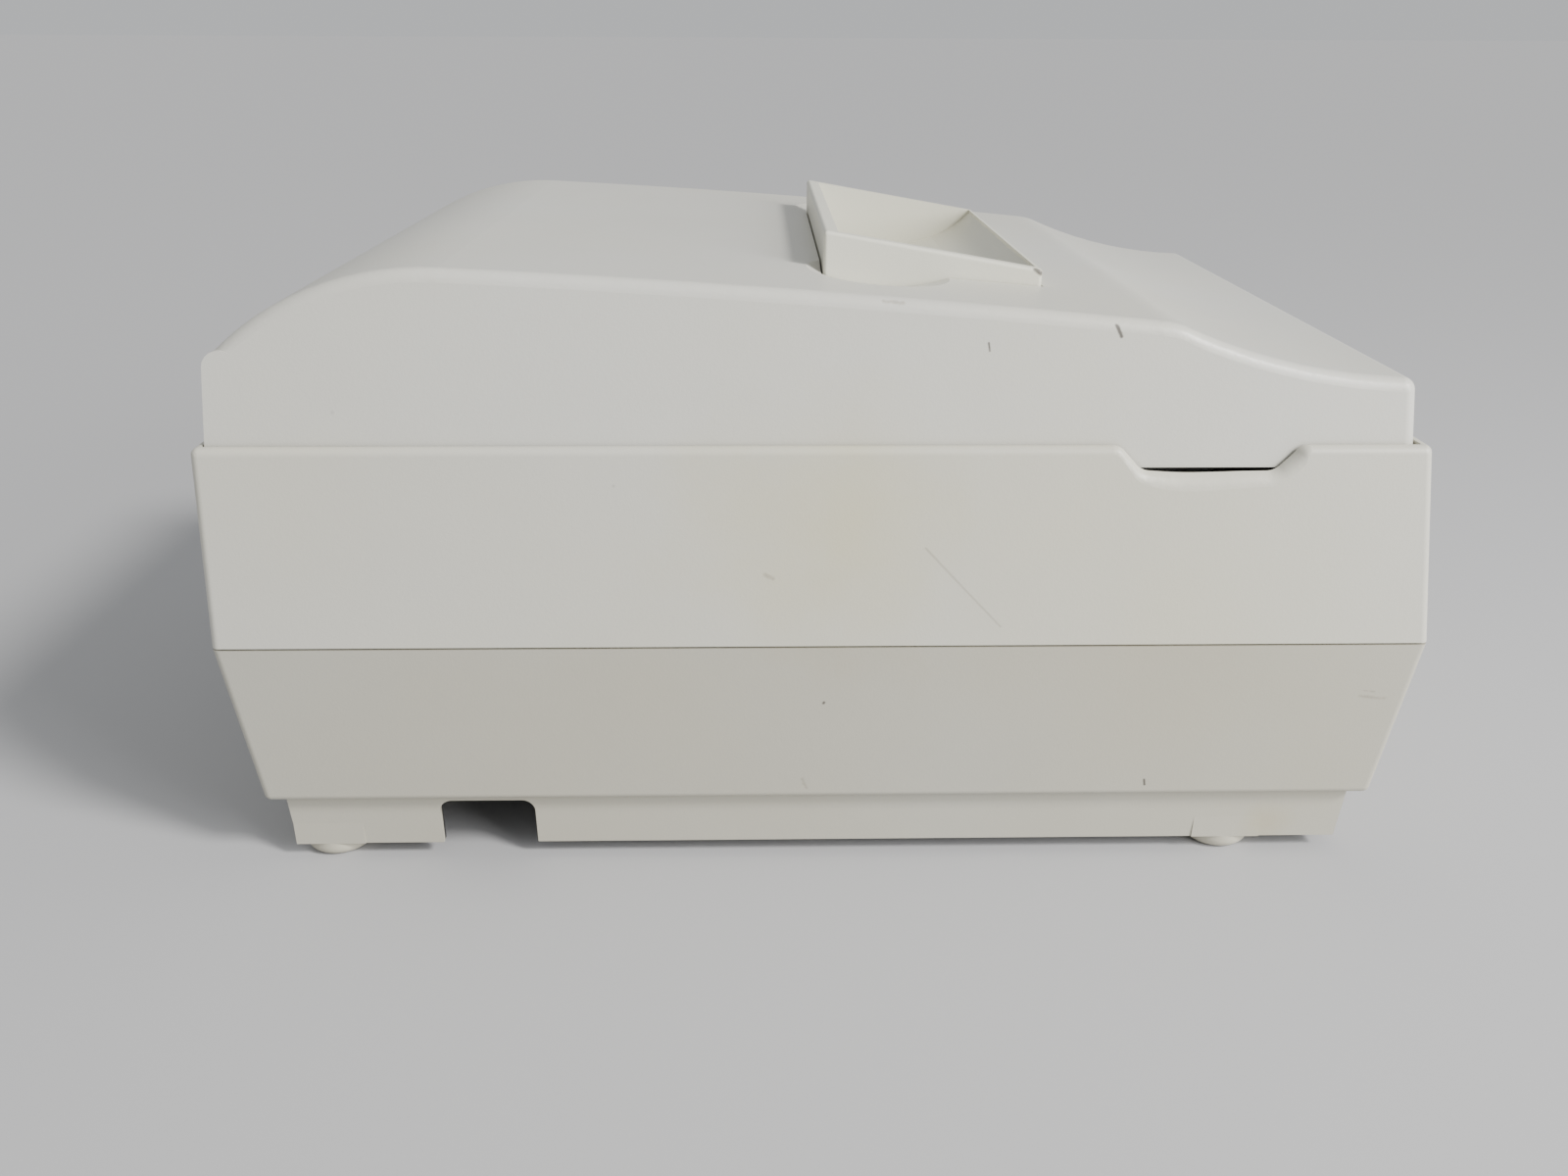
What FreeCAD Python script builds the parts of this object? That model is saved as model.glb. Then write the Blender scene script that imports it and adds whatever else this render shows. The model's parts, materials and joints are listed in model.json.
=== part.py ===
"""Desktop inkjet receipt printer, in millimetres.

The origin is the middle of the footprint on the table, +Z is up and the front faces -Y.
Depths called "ahead" are measured towards the front, so ahead = -y.
"""
import FreeCAD, Part
import math
import os
import re

from FreeCAD import Placement, Rotation, Vector

SIZES = {
    # Cases
    "case_width": 170, "case_depth": 260, "seam_height": 57.8, "seam_gap": 0.5,
    "case_wall": 2.6, "corner_round": 1.8,
    "lower_bottom": 17.7, "lower_draft_side": 4, "lower_draft_end": 3.5,
    "skirt_bottom": 3.8, "skirt_inset_side": 7, "skirt_inset_end": 7.2, "skirt_draft": 0.8,
    "skirt_wall": 2.4, "floor_thickness": 2.4,
    "notch_front": 66.1, "notch_rear": 88.1, "notch_top": 15.6, "notch_round": 3,
    "foot_radius": 8, "foot_flat_radius": 5.6, "foot_height": 3.8, "foot_inset": 8.5,
    "front_foot_ahead": 96,
    "rim_height": 101.5, "rim_draft_side": 2.2, "rim_draft_rear": 2.2, "rim_draft_front": 6.8,
    "rim_wall": 1.9, "rim_round": 1.6,
    "grip_rear": 59.3, "grip_front": 96.6, "grip_slope": 5, "grip_height": 96.2, "grip_round": 3.5,
    "grip_lip": 3.2,
    # Cover
    "cover_gap": 0.5, "cover_foot": 96.5, "cover_wall": 2.2, "cover_draft": 1.2, "cover_round": 2.6,
    "crest_height": 136.3, "crest_ahead": -76, "kink_height": 126, "kink_ahead": 66,
    "cover_front_height": 114.6, "cover_rear_height": 117.4, "cover_slope_end": 2,
    "hinge_height": 103.2, "hinge_inset": 0.6, "hinge_out": 50, "knuckle_radius": 2.6,
    "knuckle_length": 14, "lug_length": 5, "pin_radius": 1, "running_gap": 0.05, "side_play": 0.4,
    # Receipt chute
    "chute_width": 100, "chute_length": 47.5, "chute_rear_top": 139.5, "chute_front_top": 131.3,
    "chute_wall": 2.5, "chute_back_wall": 3.2, "chute_bottom": 113, "chute_play": 0.4,
    "slot_length": 5.3, "chute_lip": 1.2, "ledge_width": 3, "ledge_thickness": 2,
    "dish_radius": 40, "dish_depth": 3.1, "dish_ahead": 14.7,
    # Mechanism
    "frame_out": 70, "frame_sheet": 1.5, "base_height": 24, "base_sheet": 1.4,
    "base_front": 106, "base_rear": -20, "boss_radius": 4,
    "roll_radius": 39, "roll_width": 79.5, "roll_ahead": -72, "roll_height": 88,
    "core_radius": 9, "core_wall": 1.6, "spindle_radius": 6.8, "spindle_end_radius": 4,
    "paper_ahead": 9, "paper_gap": 0.5, "feed_height": 58, "feed_radius": 8, "feed_shaft_radius": 3,
    "pinch_radius": 5, "pinch_shaft_radius": 1.5, "feed_width": 84,
    "gear_module": 0.8, "gear_width": 4, "roller_teeth": 24, "idler_teeth": 30, "pinion_teeth": 12,
    "mesh_slack": 0.15, "feed_motor_radius": 12.5, "feed_motor_length": 18,
    "platen_sheet": 3, "platen_bottom": 70, "platen_top": 100,
    "rod_radius": 4, "rod_ahead": 46, "rod_height": 66, "rail_height": 96, "rail_ahead": 80,
    "carriage_width": 34, "carriage_length": 44, "carriage_bottom": 58, "carriage_top": 96,
    "carriage_wall": 2, "carriage_park": 48, "latch_height": 101.4, "head_gap": 1.5,
    "belt_height": 84, "belt_width": 5, "belt_sheet": 1.2, "pulley_radius": 6, "pulley_out": 56,
    "belt_ahead": 92, "carriage_motor_radius": 12, "carriage_motor_length": 26,
    # Electronics and controls
    "board_height": 30, "board_sheet": 1.6, "bay_right": -16, "bay_ceiling": 42, "bay_wall": 2,
    "button_height": 80, "button_width": 14, "button_tall": 8, "button_out": 1.2, "button_gap": 0.35,
    "feed_button_x": 40, "release_button_x": 60, "button_stem": 9, "lamp_x": 20, "lamp_radius": 2,
    "rocker_x": 45, "rocker_height": 40, "rocker_width": 10, "rocker_tall": 15, "rocker_tilt": 8,
    "rocker_pin": 1.2,
    "screw_radius": 1.5, "screw_head_radius": 3, "case_screw_rear": 33, "case_screw_front": 18,
}

doc = FreeCAD.newDocument("ReceiptPrinter")


def make_sheet():
    """Write every driving size into the spreadsheet under its own alias."""
    sheet = doc.addObject("Spreadsheet::Sheet", "Sizes")
    for row, (name, number) in enumerate(SIZES.items(), start=1):
        sheet.set(f"A{row}", name)
        sheet.set(f"B{row}", str(number))
        sheet.setAlias(f"B{row}", name)
    doc.recompute()
    return sheet


SHEET = make_sheet()


def size(text):
    """The number that an expression of the sheet's sizes has now."""
    return float(SHEET.evalExpression(text))


def bind(item, place, text):
    """Tie one property of an object to an expression of the sheet's sizes."""
    linked = re.sub(r"[a-z]\w*", lambda word: f"Sizes.{word[0]}" if word[0] in SIZES else word[0], text)
    item.setExpression(place, linked)


X_AXIS = Rotation(Vector(0, 1, 0), 90)
Z_AXIS = Rotation()
SIDE_ON = Rotation(Vector(0, -1, 0), Vector(0, 0, 1), Vector(-1, 0, 0), "XYZ")
TOP_UP = Rotation(Vector(1, 0, 0), 90)


def place(item, turn, x, y, z):
    """Turn an object, then tie its position to the sheet."""
    item.Placement = Placement(Vector(), turn)
    for axis, text in zip("xyz", (x, y, z)):
        bind(item, "Placement.Base." + axis, text)


def box(name, x, y, z):
    """A box between the low and high expressions of each axis."""
    item = doc.addObject("Part::Box", name)
    for (low, high), side in zip((x, y, z), ("Length", "Width", "Height")):
        bind(item, side, f"({high}) - ({low})")
    place(item, Z_AXIS, x[0], y[0], z[0])
    return item


def rod(name, turn, low_end, radius, length):
    """A cylinder from its low end, along the turn's axis."""
    item = doc.addObject("Part::Cylinder", name)
    bind(item, "Radius", radius)
    bind(item, "Height", length)
    place(item, turn, *low_end)
    return item


def taper(name, z, low, high):
    """A block whose rectangles (half width, rear ahead, front ahead) differ at its two heights."""
    item = doc.addObject("Part::Wedge", name)
    bind(item, "Ymin", z[0])
    bind(item, "Ymax", z[1])
    for (half, rear, front), mark in ((low, ""), (high, "2")):
        bind(item, f"X{mark}min", f"-({half})")
        bind(item, f"X{mark}max", half)
        bind(item, f"Z{mark}min", rear)
        bind(item, f"Z{mark}max", front)
    place(item, TOP_UP, "0", "0", "0")
    return item


def side_sketch(name, x, start, runs):
    """A closed outline of (ahead, height) points; a run is a point, or an arc's middle and end."""
    sketch = doc.addObject("Sketcher::SketchObject", name)
    place(sketch, SIDE_ON, x, "0", "0")
    last = Vector(*start, 0)
    for run in list(runs) + [start]:
        if isinstance(run[0], tuple):
            middle, end = (Vector(*point, 0) for point in run)
            sketch.addGeometry(Part.Arc(last, middle, end), False)
        else:
            end = Vector(*run, 0)
            sketch.addGeometry(Part.LineSegment(last, end), False)
        last = end
    return sketch


def pulled(name, outline, length):
    """The solid that an outline sweeps along its own normal."""
    item = doc.addObject("Part::Extrusion", name)
    item.Base = outline
    item.DirMode = "Normal"
    item.Solid = True
    bind(item, "LengthFwd", length)
    return item


def side_prism(name, x, start, runs):
    """An outline seen from the side, solid between two x expressions."""
    outline = side_sketch(name + "_outline", x[1], start, runs)
    return pulled(name, outline, f"({x[1]}) - ({x[0]})")


def join(name, *pieces):
    item = doc.addObject("Part::MultiFuse", name)
    item.Shapes = list(pieces)
    return item


def cut(name, base, *tools):
    item = doc.addObject("Part::Cut", name)
    item.Base = base
    item.Tool = tools[0] if len(tools) == 1 else join(name + "_tools", *tools)
    return item


def overlap(name, base, tool):
    item = doc.addObject("Part::Common", name)
    item.Base = base
    item.Tool = tool
    return item


def rounded(name, base, radius, chosen):
    """Fillet the edges that the chosen test picks."""
    blend = size(radius)
    return blended(name, base, lambda point: blend, chosen)


def blended(name, base, radius_at, chosen):
    """Fillet the picked edges with a radius that runs from end to end of each."""
    doc.recompute()
    item = doc.addObject("Part::Fillet", name)
    item.Base = base
    item.Edges = [(at, radius_at(edge.firstVertex(True).Point), radius_at(edge.lastVertex(True).Point))
                  for at, edge in enumerate(base.Shape.Edges, start=1) if chosen(edge)]
    return item


def plain(name, shape):
    """A piece whose shape comes from Part's own functions."""
    item = doc.addObject("Part::Feature", name)
    item.Shape = shape
    return item


PARTS = []


def part(node, item):
    """Name a finished sub-part after its node."""
    item.Label = node
    PARTS.append(item)
    return item


def upright(edge):
    """True for an edge that rises more than it runs."""
    first, last = edge.Vertexes[0].Point, edge.Vertexes[-1].Point
    rise = abs(last.z - first.z)
    return rise > math.hypot(last.x - first.x, last.y - first.y)


def middle_of(edge):
    return edge.valueAt((edge.FirstParameter + edge.LastParameter) / 2)


# ---- Cases ----

HALF_WIDTH = "case_width / 2"
HALF_DEPTH = "case_depth / 2"
HINGE_Y = f"({HALF_DEPTH} - rim_draft_rear - hinge_inset)"


def lower_level(share):
    """The lower case's outer rectangle: share 0 at the seam and 1 at its bottom."""
    half = f"{HALF_WIDTH} - {share} * lower_draft_side"
    ahead = f"{HALF_DEPTH} - {share} * lower_draft_end"
    return half, f"-({ahead})", ahead


def inset(level, gap):
    half, rear, front = level
    return f"{half} - ({gap})", f"{rear} + ({gap})", f"{front} - ({gap})"


def skirt_level(gap):
    half = f"{HALF_WIDTH} - skirt_inset_side - {gap}"
    ahead = f"{HALF_DEPTH} - skirt_inset_end - {gap}"
    return half, f"-({ahead})", ahead


def cable_bay_tools():
    """The cable bay's hollow, open below, and the way out through the skirt's left side."""
    hollow = box("bay_hollow",
                 (f"-({HALF_WIDTH} - skirt_inset_side - skirt_wall - 6)", "bay_right"),
                 ("notch_front - 4", "notch_rear + 4"), ("skirt_bottom - 1", "bay_ceiling"))
    doorway = box("notch_doorway", (f"-({HALF_WIDTH})", f"-({HALF_WIDTH} - skirt_inset_side - 8)"),
                  ("notch_front", "notch_rear"), ("skirt_bottom - 1", "notch_top"))
    doorway = rounded("notch_rounded", doorway, "notch_round",
                      lambda edge: middle_of(edge).z > size("notch_top - 0.1")
                      and abs(edge.Vertexes[0].Point.x - edge.Vertexes[-1].Point.x) > 1)
    return hollow, doorway


def screw_places():
    """The four case screws stand inside the skirt, clear of the feet and the side frames."""
    for side in (-1, 1):
        for y in (f"{HALF_DEPTH} - case_screw_rear", f"-({HALF_DEPTH} - case_screw_front)"):
            yield f"{side} * (frame_out - 1)", y


def base_screw_places():
    for side in (-1, 1):
        for ahead in ("base_front - 10", "base_rear + 10"):
            yield f"{side} * (frame_out - 12)", f"-({ahead})"


def make_lower_case():
    outer = taper("lower_outer", ("lower_bottom", "seam_height"), lower_level(1), lower_level(0))
    outer = rounded("lower_rounded", outer, "corner_round", lambda edge: upright(edge) or
                    middle_of(edge).z < size("lower_bottom + 0.1"))
    inner = taper("lower_inner", ("lower_bottom + floor_thickness", "seam_height + 1"),
                  inset(lower_level(1), "case_wall"), inset(lower_level(0), "case_wall"))
    skirt = taper("skirt_outer", ("skirt_bottom", "lower_bottom + 1"), skirt_level("skirt_draft"),
                  skirt_level("0"))
    skirt_hollow = taper("skirt_hollow", ("skirt_bottom - 1", "lower_bottom"),
                         inset(skirt_level("skirt_draft"), "skirt_wall"),
                         inset(skirt_level("0"), "skirt_wall"))
    shell = cut("lower_shell", outer, inner)
    ring = cut("skirt_ring", skirt, skirt_hollow)
    bay = box("bay_block",
              (f"-({HALF_WIDTH} - skirt_inset_side - skirt_wall - 4)", "bay_right + bay_wall"),
              ("notch_front - 4 - bay_wall", "notch_rear + 4 + bay_wall"),
              ("lower_bottom", "bay_ceiling + bay_wall"))
    bosses = [rod(f"base_boss_{at}", Z_AXIS, (x, y, "lower_bottom"), "boss_radius",
                  "base_height - lower_bottom")
              for at, (x, y) in enumerate(base_screw_places())]
    towers = [rod(f"case_tower_{at}", Z_AXIS, (x, y, "lower_bottom"), "boss_radius",
                  "seam_height - lower_bottom")
              for at, (x, y) in enumerate(screw_places())]
    pads = [box(f"foot_pad_{at}", (f"{x} - foot_radius", f"{x} + foot_radius"),
                (f"{y} - foot_radius", f"{y} + foot_radius"), ("foot_height", "lower_bottom + 1"))
            for at, (x, y) in enumerate(foot_places())]
    body = join("lower_body", shell, ring, bay, *bosses, *towers, *pads)
    screw_holes = [rod(f"case_screw_hole_{at}", Z_AXIS, (x, y, "0"), "screw_radius + 0.1", "seam_height + 1")
                   for at, (x, y) in enumerate(screw_places())]
    base_holes = [rod(f"boss_hole_{at}", Z_AXIS, (x, y, "lower_bottom + 1"), "screw_radius", "base_height")
                  for at, (x, y) in enumerate(base_screw_places())]
    connector_hole = box("connector_hole", ("bay_right - 1", "bay_right + bay_wall + 1"),
                         ("notch_front - 1", "notch_front + 13"), ("lower_bottom + 5", "lower_bottom + 18"))
    inlet_hole = rod("inlet_hole", X_AXIS, ("bay_right - 1", "notch_rear - 3", "board_height + 1"), "4",
                     "bay_wall + 2")
    rocker_hole = box("rocker_hole", ("rocker_x - rocker_width / 2 - 1", "rocker_x + rocker_width / 2 + 1"),
                      (f"{HALF_DEPTH} - 12", f"{HALF_DEPTH} + 2"),
                      ("rocker_height - rocker_tall / 2 - 1", "rocker_height + rocker_tall / 2 + 1"))
    part("lower_case", cut("LowerCase", body, *cable_bay_tools(), *screw_holes, *base_holes,
                           connector_hole, inlet_hole, rocker_hole))


def rim_level(gap, share="1"):
    """The mid case's rectangle: share 0 at the seam, 1 at the rim and more above it."""
    return (f"{HALF_WIDTH} - {share} * rim_draft_side - {gap}",
            f"-({HALF_DEPTH} - {share} * rim_draft_rear - {gap})",
            f"{HALF_DEPTH} - {share} * rim_draft_front - {gap}")


def rim_cut():
    """Everything above the rim, dipping at the grips: the tool that leaves the rim's top edge."""
    front, rear = size("grip_front"), size("grip_rear")
    low, high, slope = size("grip_height"), size("rim_height"), size("grip_slope")
    reach = size("case_depth")
    tool = side_prism("rim_cut", (f"-{HALF_WIDTH} - 1", f"{HALF_WIDTH} + 1"), (-reach, high + 9),
                      [(-reach, high), (rear, high), (rear + slope, low), (front - slope, low),
                       (front, high), (reach, high), (reach, high + 9)])
    return rounded("rim_cut_rounded", tool, "grip_round", lambda edge: abs(middle_of(edge).x) < 1
                   and middle_of(edge).z < high + 1 and rear - 1 < -middle_of(edge).y < front + 1)


def hinge_places():
    return (("left", "-hinge_out"), ("right", "hinge_out"))


def seam_tongues():
    """Ribs along both sides that reach down inside the lower case's edge."""
    pieces = []
    for side, sign in (("left", "-1"), ("right", "1")):
        middle = f"{sign} * ({HALF_WIDTH} - case_wall - 2)"
        root = f"{sign} * ({HALF_WIDTH} - case_wall - 0.6)"
        pieces.append(box(f"seam_tongue_{side}", (f"{middle} - 0.9", f"{middle} + 0.9"), ("-100", "90"),
                          ("seam_height - 4", "seam_height + 4")))
        pieces.append(box(f"seam_tongue_root_{side}", (f"{root} - 0.9", f"{root} + 0.9"), ("-100", "90"),
                          ("seam_height + 1.5", "seam_height + 4")))
    return pieces


def make_mid_case():
    bottom = rim_level("0", "0")
    rise = "(rim_height - seam_height - seam_gap)"
    outer = taper("mid_outer", ("seam_height + seam_gap", "rim_height + 3"), bottom,
                  rim_level("0", f"(({rise} + 3) / {rise})"))
    outer = rounded("mid_corners", outer, "corner_round", upright)
    outer = cut("mid_topped", outer, rim_cut())
    low, high = size("grip_height"), size("rim_height")
    rim, lip = size("rim_round"), size("grip_lip")
    outer = blended("mid_rounded", outer,
                    lambda spot: rim + (lip - rim) * max(0, high - spot.z) / (high - low),
                    lambda edge: middle_of(edge).z > low - 0.1
                    and (abs(middle_of(edge).x) > 70 or abs(middle_of(edge).y) > 115))
    inner = taper("mid_inner", ("seam_height", "rim_height + 0.01"), inset(bottom, "case_wall"),
                  rim_level("rim_wall"))
    shell = cut("mid_shell", outer, inner)
    bosses = [rod(f"mid_boss_{at}", Z_AXIS, (x, y, "seam_height + seam_gap"), "boss_radius - 0.5", "14")
              for at, (x, y) in enumerate(screw_places())]
    ribs = [box(f"mid_rib_{at}", (f"{x} - 1", f"{HALF_WIDTH} - 3") if not x.startswith("-1")
                else (f"-({HALF_WIDTH} - 3)", f"{x} + 1"),
                (f"{y} - 1", f"{y} + 1"), ("seam_height + seam_gap", "seam_height + seam_gap + 14"))
            for at, (x, y) in enumerate(screw_places())]
    tongues = seam_tongues()
    lugs = []
    slots = []
    for side, x in hinge_places():
        for end, shift in (("outer", "knuckle_length / 2 + side_play"),
                           ("inner", "-knuckle_length / 2 - side_play - lug_length")):
            low = f"{x} + {shift}"
            name = f"{side}_{end}"
            lug = rod(f"lug_{name}", X_AXIS, (low, HINGE_Y, "hinge_height"), "knuckle_radius", "lug_length")
            foot = box(f"lug_foot_{name}", (low, f"{low} + lug_length"),
                       (f"{HALF_DEPTH} - rim_draft_rear - rim_wall + 0.35", f"{HINGE_Y} + knuckle_radius"),
                       ("rim_height - 6", "hinge_height"))
            lugs += [lug, foot]
            slots.append(rod(f"lug_bore_{name}", X_AXIS, (f"{low} - 1", HINGE_Y, "hinge_height"),
                             "pin_radius", "lug_length + 2"))
        slots.append(box(f"knuckle_slot_{side}", (f"{x} - knuckle_length / 2 - side_play",
                                                  f"{x} + knuckle_length / 2 + side_play"),
                         (f"{HINGE_Y} - 4", f"{HINGE_Y} + 6"),
                         ("hinge_height - knuckle_radius - side_play", "hinge_height + 9")))
    button_holes = [front_box(f"{name}_hole", x, "button_width + 2 * button_gap",
                              "button_tall + 2 * button_gap", ("-8", "4")) for name, x in button_places()]
    lamp_holes = [front_rod(f"lamp_hole_{at}", x, "lamp_radius", ("-6", "2")) for at, x in lamp_places()]
    screw_bores = [rod(f"mid_screw_bore_{at}", Z_AXIS, (x, y, "seam_height"), "screw_radius", "10")
                   for at, (x, y) in enumerate(screw_places())]
    body = join("mid_body", shell, *bosses, *ribs, *tongues, *lugs)
    part("mid_case", cut("MidCase", body, *slots, *button_holes, *lamp_holes, *screw_bores))


def foot_places():
    side = f"({HALF_WIDTH} - skirt_inset_side - foot_inset)"
    rear = f"({HALF_DEPTH} - skirt_inset_end - foot_inset)"
    for sign in ("-1", "1"):
        yield f"{sign} * {side}", "-front_foot_ahead"
        yield f"{sign} * {side}", rear


def make_feet():
    """Round feet with a flat sole and a rolled edge."""
    names = ("front_left_foot", "rear_left_foot", "front_right_foot", "rear_right_foot")
    for node, (x, y) in zip(names, foot_places()):
        edge = size("foot_radius - foot_flat_radius")
        foot = rod(node + "_blank", Z_AXIS, (x, y, "0"), "foot_radius", "foot_height")
        foot = rounded(node + "_rolled", foot, "foot_radius - foot_flat_radius",
                       lambda rim: middle_of(rim).z < edge / 2 and len(rim.Vertexes) == 1)
        part(node, foot)


# ---- Cover and chute ----

def cover_half(gap):
    return f"{HALF_WIDTH} - rim_draft_side - rim_wall - cover_gap - ({gap})"


def cover_runs(foot):
    """The cover's side outline, with its end faces carried down to the given height."""
    rear_top, front_top = size("cover_rear_height"), size("cover_front_height")
    rim = size("rim_height")
    rear = -size(f"{HALF_DEPTH} - rim_draft_rear - rim_wall - cover_gap")
    front = size(f"{HALF_DEPTH} - rim_draft_front - rim_wall - cover_gap")
    lean = size("cover_slope_end")
    front_slope = lean / (front_top - rim)
    crest = (size("crest_ahead"), size("crest_height"))
    kink = (size("kink_ahead"), size("kink_height"))
    rear_corner = (rear + lean, rear_top)
    front_corner = (front - lean, front_top)
    hump_start = (rear_corner[0] + 2.2, rear_top + 2.9)
    fall = (kink[0] + 6.5, kink[1] - 1.75)
    half_way = ((crest[0] + kink[0]) / 2, (crest[1] + kink[1]) / 2 + 0.9)
    start = (rear - 0.1, foot)
    runs = [(rear, rim), rear_corner,
            ((rear_corner[0] + 0.75, rear_top + 1.75), hump_start),
            ((hump_start[0] + 17.8, hump_start[1] + 11.2), crest),
            (half_way, kink),
            ((kink[0] + 3.3, kink[1] - 0.55), fall),
            ((fall[0] + 19, fall[1] - 6.2), (front_corner[0] - 2.4, front_top + 0.1)),
            ((front_corner[0] - 0.6, front_top - 0.6), (front_corner[0] + 0.3, front_top - 2.2)),
            (front + (rim - foot) * front_slope, foot)]
    return start, runs


def make_top_cover():
    across = (f"-({cover_half('0')})", cover_half("0"))
    prism = side_prism("cover_prism", across, *cover_runs(size("cover_foot")))
    reach = "case_depth"
    sides = taper("cover_sides", ("cover_foot - 1", "crest_height + 4"),
                  (cover_half("0"), f"-{reach}", reach), (cover_half("cover_draft"), f"-{reach}", reach))
    outer = overlap("cover_outer", prism, sides)
    outer = rounded("cover_outer_rounded", outer, "cover_round",
                    lambda edge: abs(middle_of(edge).x) > size(cover_half("cover_draft + 0.1"))
                    and middle_of(edge).z > size("cover_front_height + 1")
                    and middle_of(edge).y < size("cover_rear_height"))
    outline = side_sketch("cover_inner_outline", cover_half("cover_draft + cover_wall"),
                          *cover_runs(size("cover_foot - cover_wall - 2")))
    inset_outline = doc.addObject("Part::Offset2D", "cover_inset")
    inset_outline.Source = outline
    bind(inset_outline, "Value", "-cover_wall")
    hollow = doc.addObject("Part::Extrusion", "cover_hollow")
    hollow.Base = inset_outline
    hollow.DirMode = "Custom"
    hollow.Dir = Vector(-1, 0, 0)
    hollow.Solid = True
    bind(hollow, "LengthFwd", f"2 * ({cover_half('cover_draft + cover_wall')})")
    well_half = "chute_width / 2 + chute_play + cover_wall"
    well = box("well_block", (f"-({well_half})", well_half),
               ("-(chute_length + chute_play + cover_wall)", "chute_play + cover_wall"),
               ("chute_bottom - ledge_thickness", "crest_height"))
    dish_block = box("dish_block", ("-(chute_width / 2 + 19)", "chute_width / 2 + 19"), ("-34", "4"),
                     ("kink_height - 2", "crest_height"))
    thickening = overlap("cover_thickening", join("cover_blocks", well, dish_block), outer)
    body = join("cover_body", cut("cover_shell", outer, hollow), thickening)
    knuckles = [rod(f"knuckle_{side}", X_AXIS, (f"{x} - knuckle_length / 2", HINGE_Y, "hinge_height"),
                    "knuckle_radius", "knuckle_length") for side, x in hinge_places()]
    webs = [box(f"knuckle_web_{side}", (f"{x} - knuckle_length / 2", f"{x} + knuckle_length / 2"),
                (f"{HINGE_Y} - 3", HINGE_Y), ("hinge_height", "hinge_height + knuckle_radius"))
            for side, x in hinge_places()]
    tools = cover_tools()
    part("top_cover", cut("TopCover", join("cover_knuckled", body, *knuckles, *webs), *tools))


def cover_tools():
    opening_half = "chute_width / 2 + chute_play"
    opening = box("chute_opening", (f"-({opening_half})", opening_half),
                  ("-(chute_length + chute_play)", "chute_play"), ("chute_bottom", "crest_height + 9"))
    window = box("ledge_window", ("-(chute_width / 2 - ledge_width)", "chute_width / 2 - ledge_width"),
                 ("-(chute_length - ledge_width)", "-(chute_back_wall - 0.7)"),
                 ("chute_bottom - 9", "crest_height"))
    dishes = []
    for side, sign in (("left", "-1"), ("right", "1")):
        dish = doc.addObject("Part::Sphere", f"dish_{side}")
        bind(dish, "Radius", "dish_radius")
        place(dish, Z_AXIS, f"{sign} * chute_width / 2", "-dish_ahead",
              "kink_height + 4.6 - dish_depth + dish_radius")
        dishes.append(dish)
    clearances = []
    for side, x in hinge_places():
        clearances.append(rod(f"knuckle_bore_{side}", X_AXIS, (f"{x} - knuckle_length", HINGE_Y,
                              "hinge_height"), "pin_radius + running_gap", "2 * knuckle_length"))
        for end, low in (("outer", f"{x} + knuckle_length / 2"),
                         ("inner", f"{x} - knuckle_length / 2 - lug_length - 2 * side_play")):
            clearances.append(rod(f"lug_room_{side}_{end}", X_AXIS, (low, HINGE_Y, "hinge_height"),
                                  "knuckle_radius + side_play", "lug_length + 2 * side_play"))
    return [opening, window, *dishes, *clearances]


def make_chute():
    """An open pocket whose scooped floor runs down to the paper slot at its back wall."""
    length, bottom = size("chute_length"), size("chute_bottom")
    rear_top, front_top = size("chute_rear_top"), size("chute_front_top")
    back, lip = size("chute_back_wall"), size("chute_lip")
    slot_end = back + size("slot_length")
    half = "chute_width / 2"
    outer = side_prism("chute_outer", (f"-{half}", half), (0, bottom),
                       [(0, rear_top), (length, front_top), (length, bottom)])
    outer = rounded("chute_rounded", outer, "0.8", lambda edge: middle_of(edge).z > front_top - 0.1
                    or (upright(edge) and abs(middle_of(edge).x) > 1))
    above = rear_top + 9
    pocket = side_prism("chute_pocket", (f"-({half} - chute_wall)", f"{half} - chute_wall"),
                        (back, bottom - 1),
                        [(back, above), (length - lip, above), (length - lip, front_top - 0.6),
                         ((length - 3.9, front_top - 3), (length - 11.7, front_top - 7.3)),
                         (slot_end, bottom + 3.5), (slot_end, bottom - 1)])
    part("receipt_chute", cut("ReceiptChute", outer, pocket))


def make_hinge_pins():
    length = "knuckle_length + 2 * lug_length + 2 * side_play"
    pins = [rod(f"pin_{side}", X_AXIS, (f"{x} - ({length}) / 2", HINGE_Y, "hinge_height"),
                "pin_radius", length) for side, x in hinge_places()]
    part("hinge_pins", plain("HingePins", bundled(pins)))


def bundled(items):
    """Several separate solids as one compound, for a node that is a group."""
    doc.recompute()
    return Part.makeCompound([solid for item in items for solid in item.Shape.Solids])


# ---- Controls ----

def button_places():
    return (("feed_button", "feed_button_x"), ("release_button", "release_button_x"))


def lamp_places():
    return ((0, "lamp_x"), (1, "lamp_x - 9"), (2, "lamp_x - 18"))


def front_lean():
    """How far the mid case's front face leans back, in degrees."""
    rise = size("rim_height - seam_height - seam_gap")
    return math.degrees(math.atan2(size("rim_draft_front"), rise))


def front_spot():
    """How far ahead the front face is at the buttons' height."""
    return (f"({HALF_DEPTH} - rim_draft_front * (button_height - seam_height - seam_gap)"
            f" / (rim_height - seam_height - seam_gap))")


def on_front(item, x, out, drop="0"):
    """Stand a z-axis piece on the leaning front face, a distance out of it and dropped along it."""
    lean = math.radians(front_lean())
    turn = Rotation(Vector(1, 0, 0), 90 - front_lean())
    rise, run = math.sin(lean), math.cos(lean)
    place(item, turn, x, f"-({front_spot()}) - ({out}) * {run:.6f} - ({drop}) * {rise:.6f}",
          f"button_height + ({out}) * {rise:.6f} - ({drop}) * {run:.6f}")
    return item


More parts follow.
